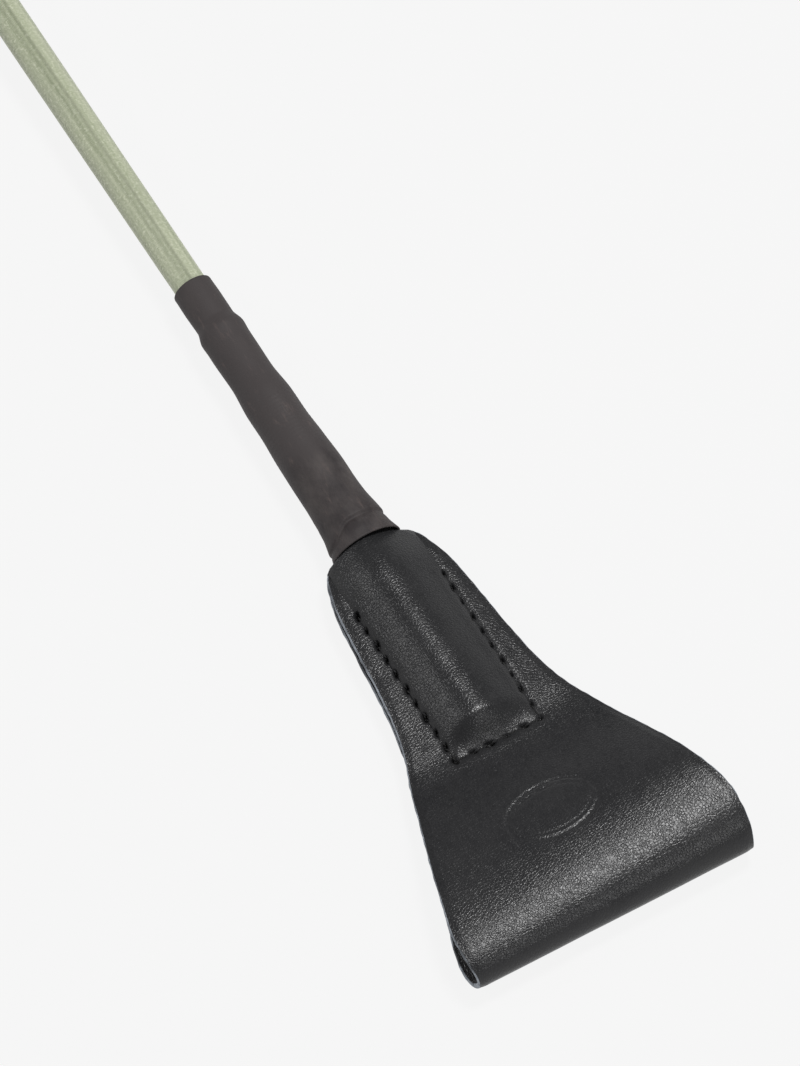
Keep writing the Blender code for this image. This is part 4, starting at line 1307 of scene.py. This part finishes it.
CAMERA_AZIMUTH, CAMERA_ELEVATION = math.radians(59.62), math.radians(60.17)
CAMERA_DISTANCE, LENS = 5463.0, 1000.0  # from far away, so that the keeper hardly narrows
AIM_RIGHT, AIM_UP = 6.31, 2.36  # the picture's centre, from the end of the sleeve
SENSOR = 36.0
PALE = 0.922  # the surround near the horizon
DOME = 0.10  # the surround overhead, which the softboxes stand out from
DOME_FADE = (0.1, 0.5)  # heights of a direction, between the two
FLOOR_REACH, FLOOR_DROP, FLOOR_GLOW = 6.0, 0.0004, 0.883
LIGHT_DISTANCE = 0.9
# (name, direction from the keeper, sides of the softbox in metres, power in watts)
LIGHTS = (
    ("overhead", (-0.07, 0.25, 0.965), (0.20, 0.22), 7.4),
    ("side", (-0.43, -0.60, 0.68), (0.22, 0.22), 1.5),
    ("front", (0.69, 0.25, 0.68), (0.26, 0.26), 1.3),
)


def add_camera():
    a, e = CAMERA_AZIMUTH, CAMERA_ELEVATION
    back = np.array([math.sin(a) * math.cos(e), -math.cos(a) * math.cos(e), math.sin(e)])
    right = np.array([math.cos(a), math.sin(a), 0.0])
    up = np.cross(back, right)
    target = np.array([KEEPER_AT, 0.0, 0.0]) + AIM_RIGHT * right + AIM_UP * up
    data = bpy.data.cameras.new("camera")
    data.lens, data.sensor_width, data.sensor_fit = LENS, SENSOR, "AUTO"
    data.clip_start, data.clip_end = 0.05, 20.0
    camera = add_object("camera", data)
    spin = np.array([turn(right), turn(up), turn(back)]).T
    where = Matrix.Translation(place(target + CAMERA_DISTANCE * back))
    camera.matrix_world = where @ Matrix(spin).to_4x4()
    bpy.context.scene.camera = camera


def add_light(name, direction, size, power):
    """A softbox that points at the middle of the keeper."""
    data = bpy.data.lights.new(name, "AREA")
    data.shape, data.size, data.size_y = "RECTANGLE", *size
    data.energy = power
    light = add_object(name, data)
    away = Vector(turn(direction)).normalized()
    light.location = Vector(place((KEEPER_AT + 50, 0, 0))) + away * LIGHT_DISTANCE
    light.rotation_euler = away.to_track_quat("Z", "Y").to_euler()
    light.visible_camera = False


def add_stage():
    """A pale floor that glows, so that it stays even, and a surround that darkens overhead."""
    reach = FLOOR_REACH
    corners = [(-reach, -reach, 0), (reach, -reach, 0), (reach, reach, 0), (-reach, reach, 0)]
    mesh = bpy.data.meshes.new("floor")
    mesh.from_pydata(corners, [], [(0, 1, 2, 3)])
    floor = add_object("floor", mesh)
    floor.location.z = cad_box[0].z - FLOOR_DROP
    look = Look("floor_look", Roughness=1.0, Specular_IOR_Level=0.0)
    faint = look.noise(look.solid(), 400.0, 1.0)
    look.set("Base Color", look.mix(faint, (0.03, 0.03, 0.03), (0.033, 0.033, 0.033)))
    look.set("Emission Color", (1.0, 1.0, 1.0, 1.0))
    look.set("Emission Strength", FLOOR_GLOW)
    mesh.materials.append(look.material)
    world = bpy.data.worlds.new("surround")
    world.use_nodes = True
    nodes, links = world.node_tree.nodes, world.node_tree.links
    sky, way = nodes["Background"], nodes.new("ShaderNodeTexCoord")
    parts, fade = nodes.new("ShaderNodeSeparateXYZ"), nodes.new("ShaderNodeMapRange")
    links.new(way.outputs["Generated"], parts.inputs[0])
    links.new(parts.outputs["Z"], fade.inputs["Value"])
    for socket, value in zip(("From Min", "From Max", "To Min", "To Max"), (*DOME_FADE, PALE, DOME)):
        fade.inputs[socket].default_value = value
    links.new(fade.outputs[0], sky.inputs["Strength"])
    sky.inputs["Color"].default_value = (1.0, 1.0, 1.0, 1.0)
    bpy.context.scene.world = world


def main():
    bpy.context.scene.view_settings.view_transform = "Standard"
    add_camera()
    add_stage()
    for light in LIGHTS:
        add_light(*light)

    steel, thread = steel_look(), thread_look()
    rubber = rubber_look("grip_rubber_look", (0.016, 0.016, 0.017), (0.034, 0.034, 0.035), 0.62)
    plastic = rubber_look("black_plastic_look", (0.012, 0.012, 0.013), (0.024, 0.024, 0.025), 0.38)
    strap_leather = strap_leather_look()
    build_keeper(keeper_leather_look())
    build_stitches("stitches_front", 1, thread, "stitch_thread_front")
    build_stitches("stitches_back", -1, thread, "stitch_thread_back")
    build_sleeve(sleeve_look())
    build_braid(braid_look())
    build_cap(plastic)
    build_grip(rubber)
    build_nose(rubber)
    build_pin(steel)
    build_strap(strap_leather)
    build_slider(strap_leather)
    build_rivet(steel)
    inner_nodes = {
        "core_rod": (fibre_look(), "glass_fibre"),
        "rod_tip_cap": (plastic, "black_plastic"),
        "neck_whipping": (cord_look(), "waxed_cord"),
        "handle_former": (beech_look(), "beech"),
        "cap_screw": (steel, "nickel_steel"),
        "screw_washer": (steel, "nickel_steel"),
    }
    for node, (look, slot) in inner_nodes.items():
        materials = frame["nodes"][node].data.materials
        materials.clear()
        materials.append(look)


main()
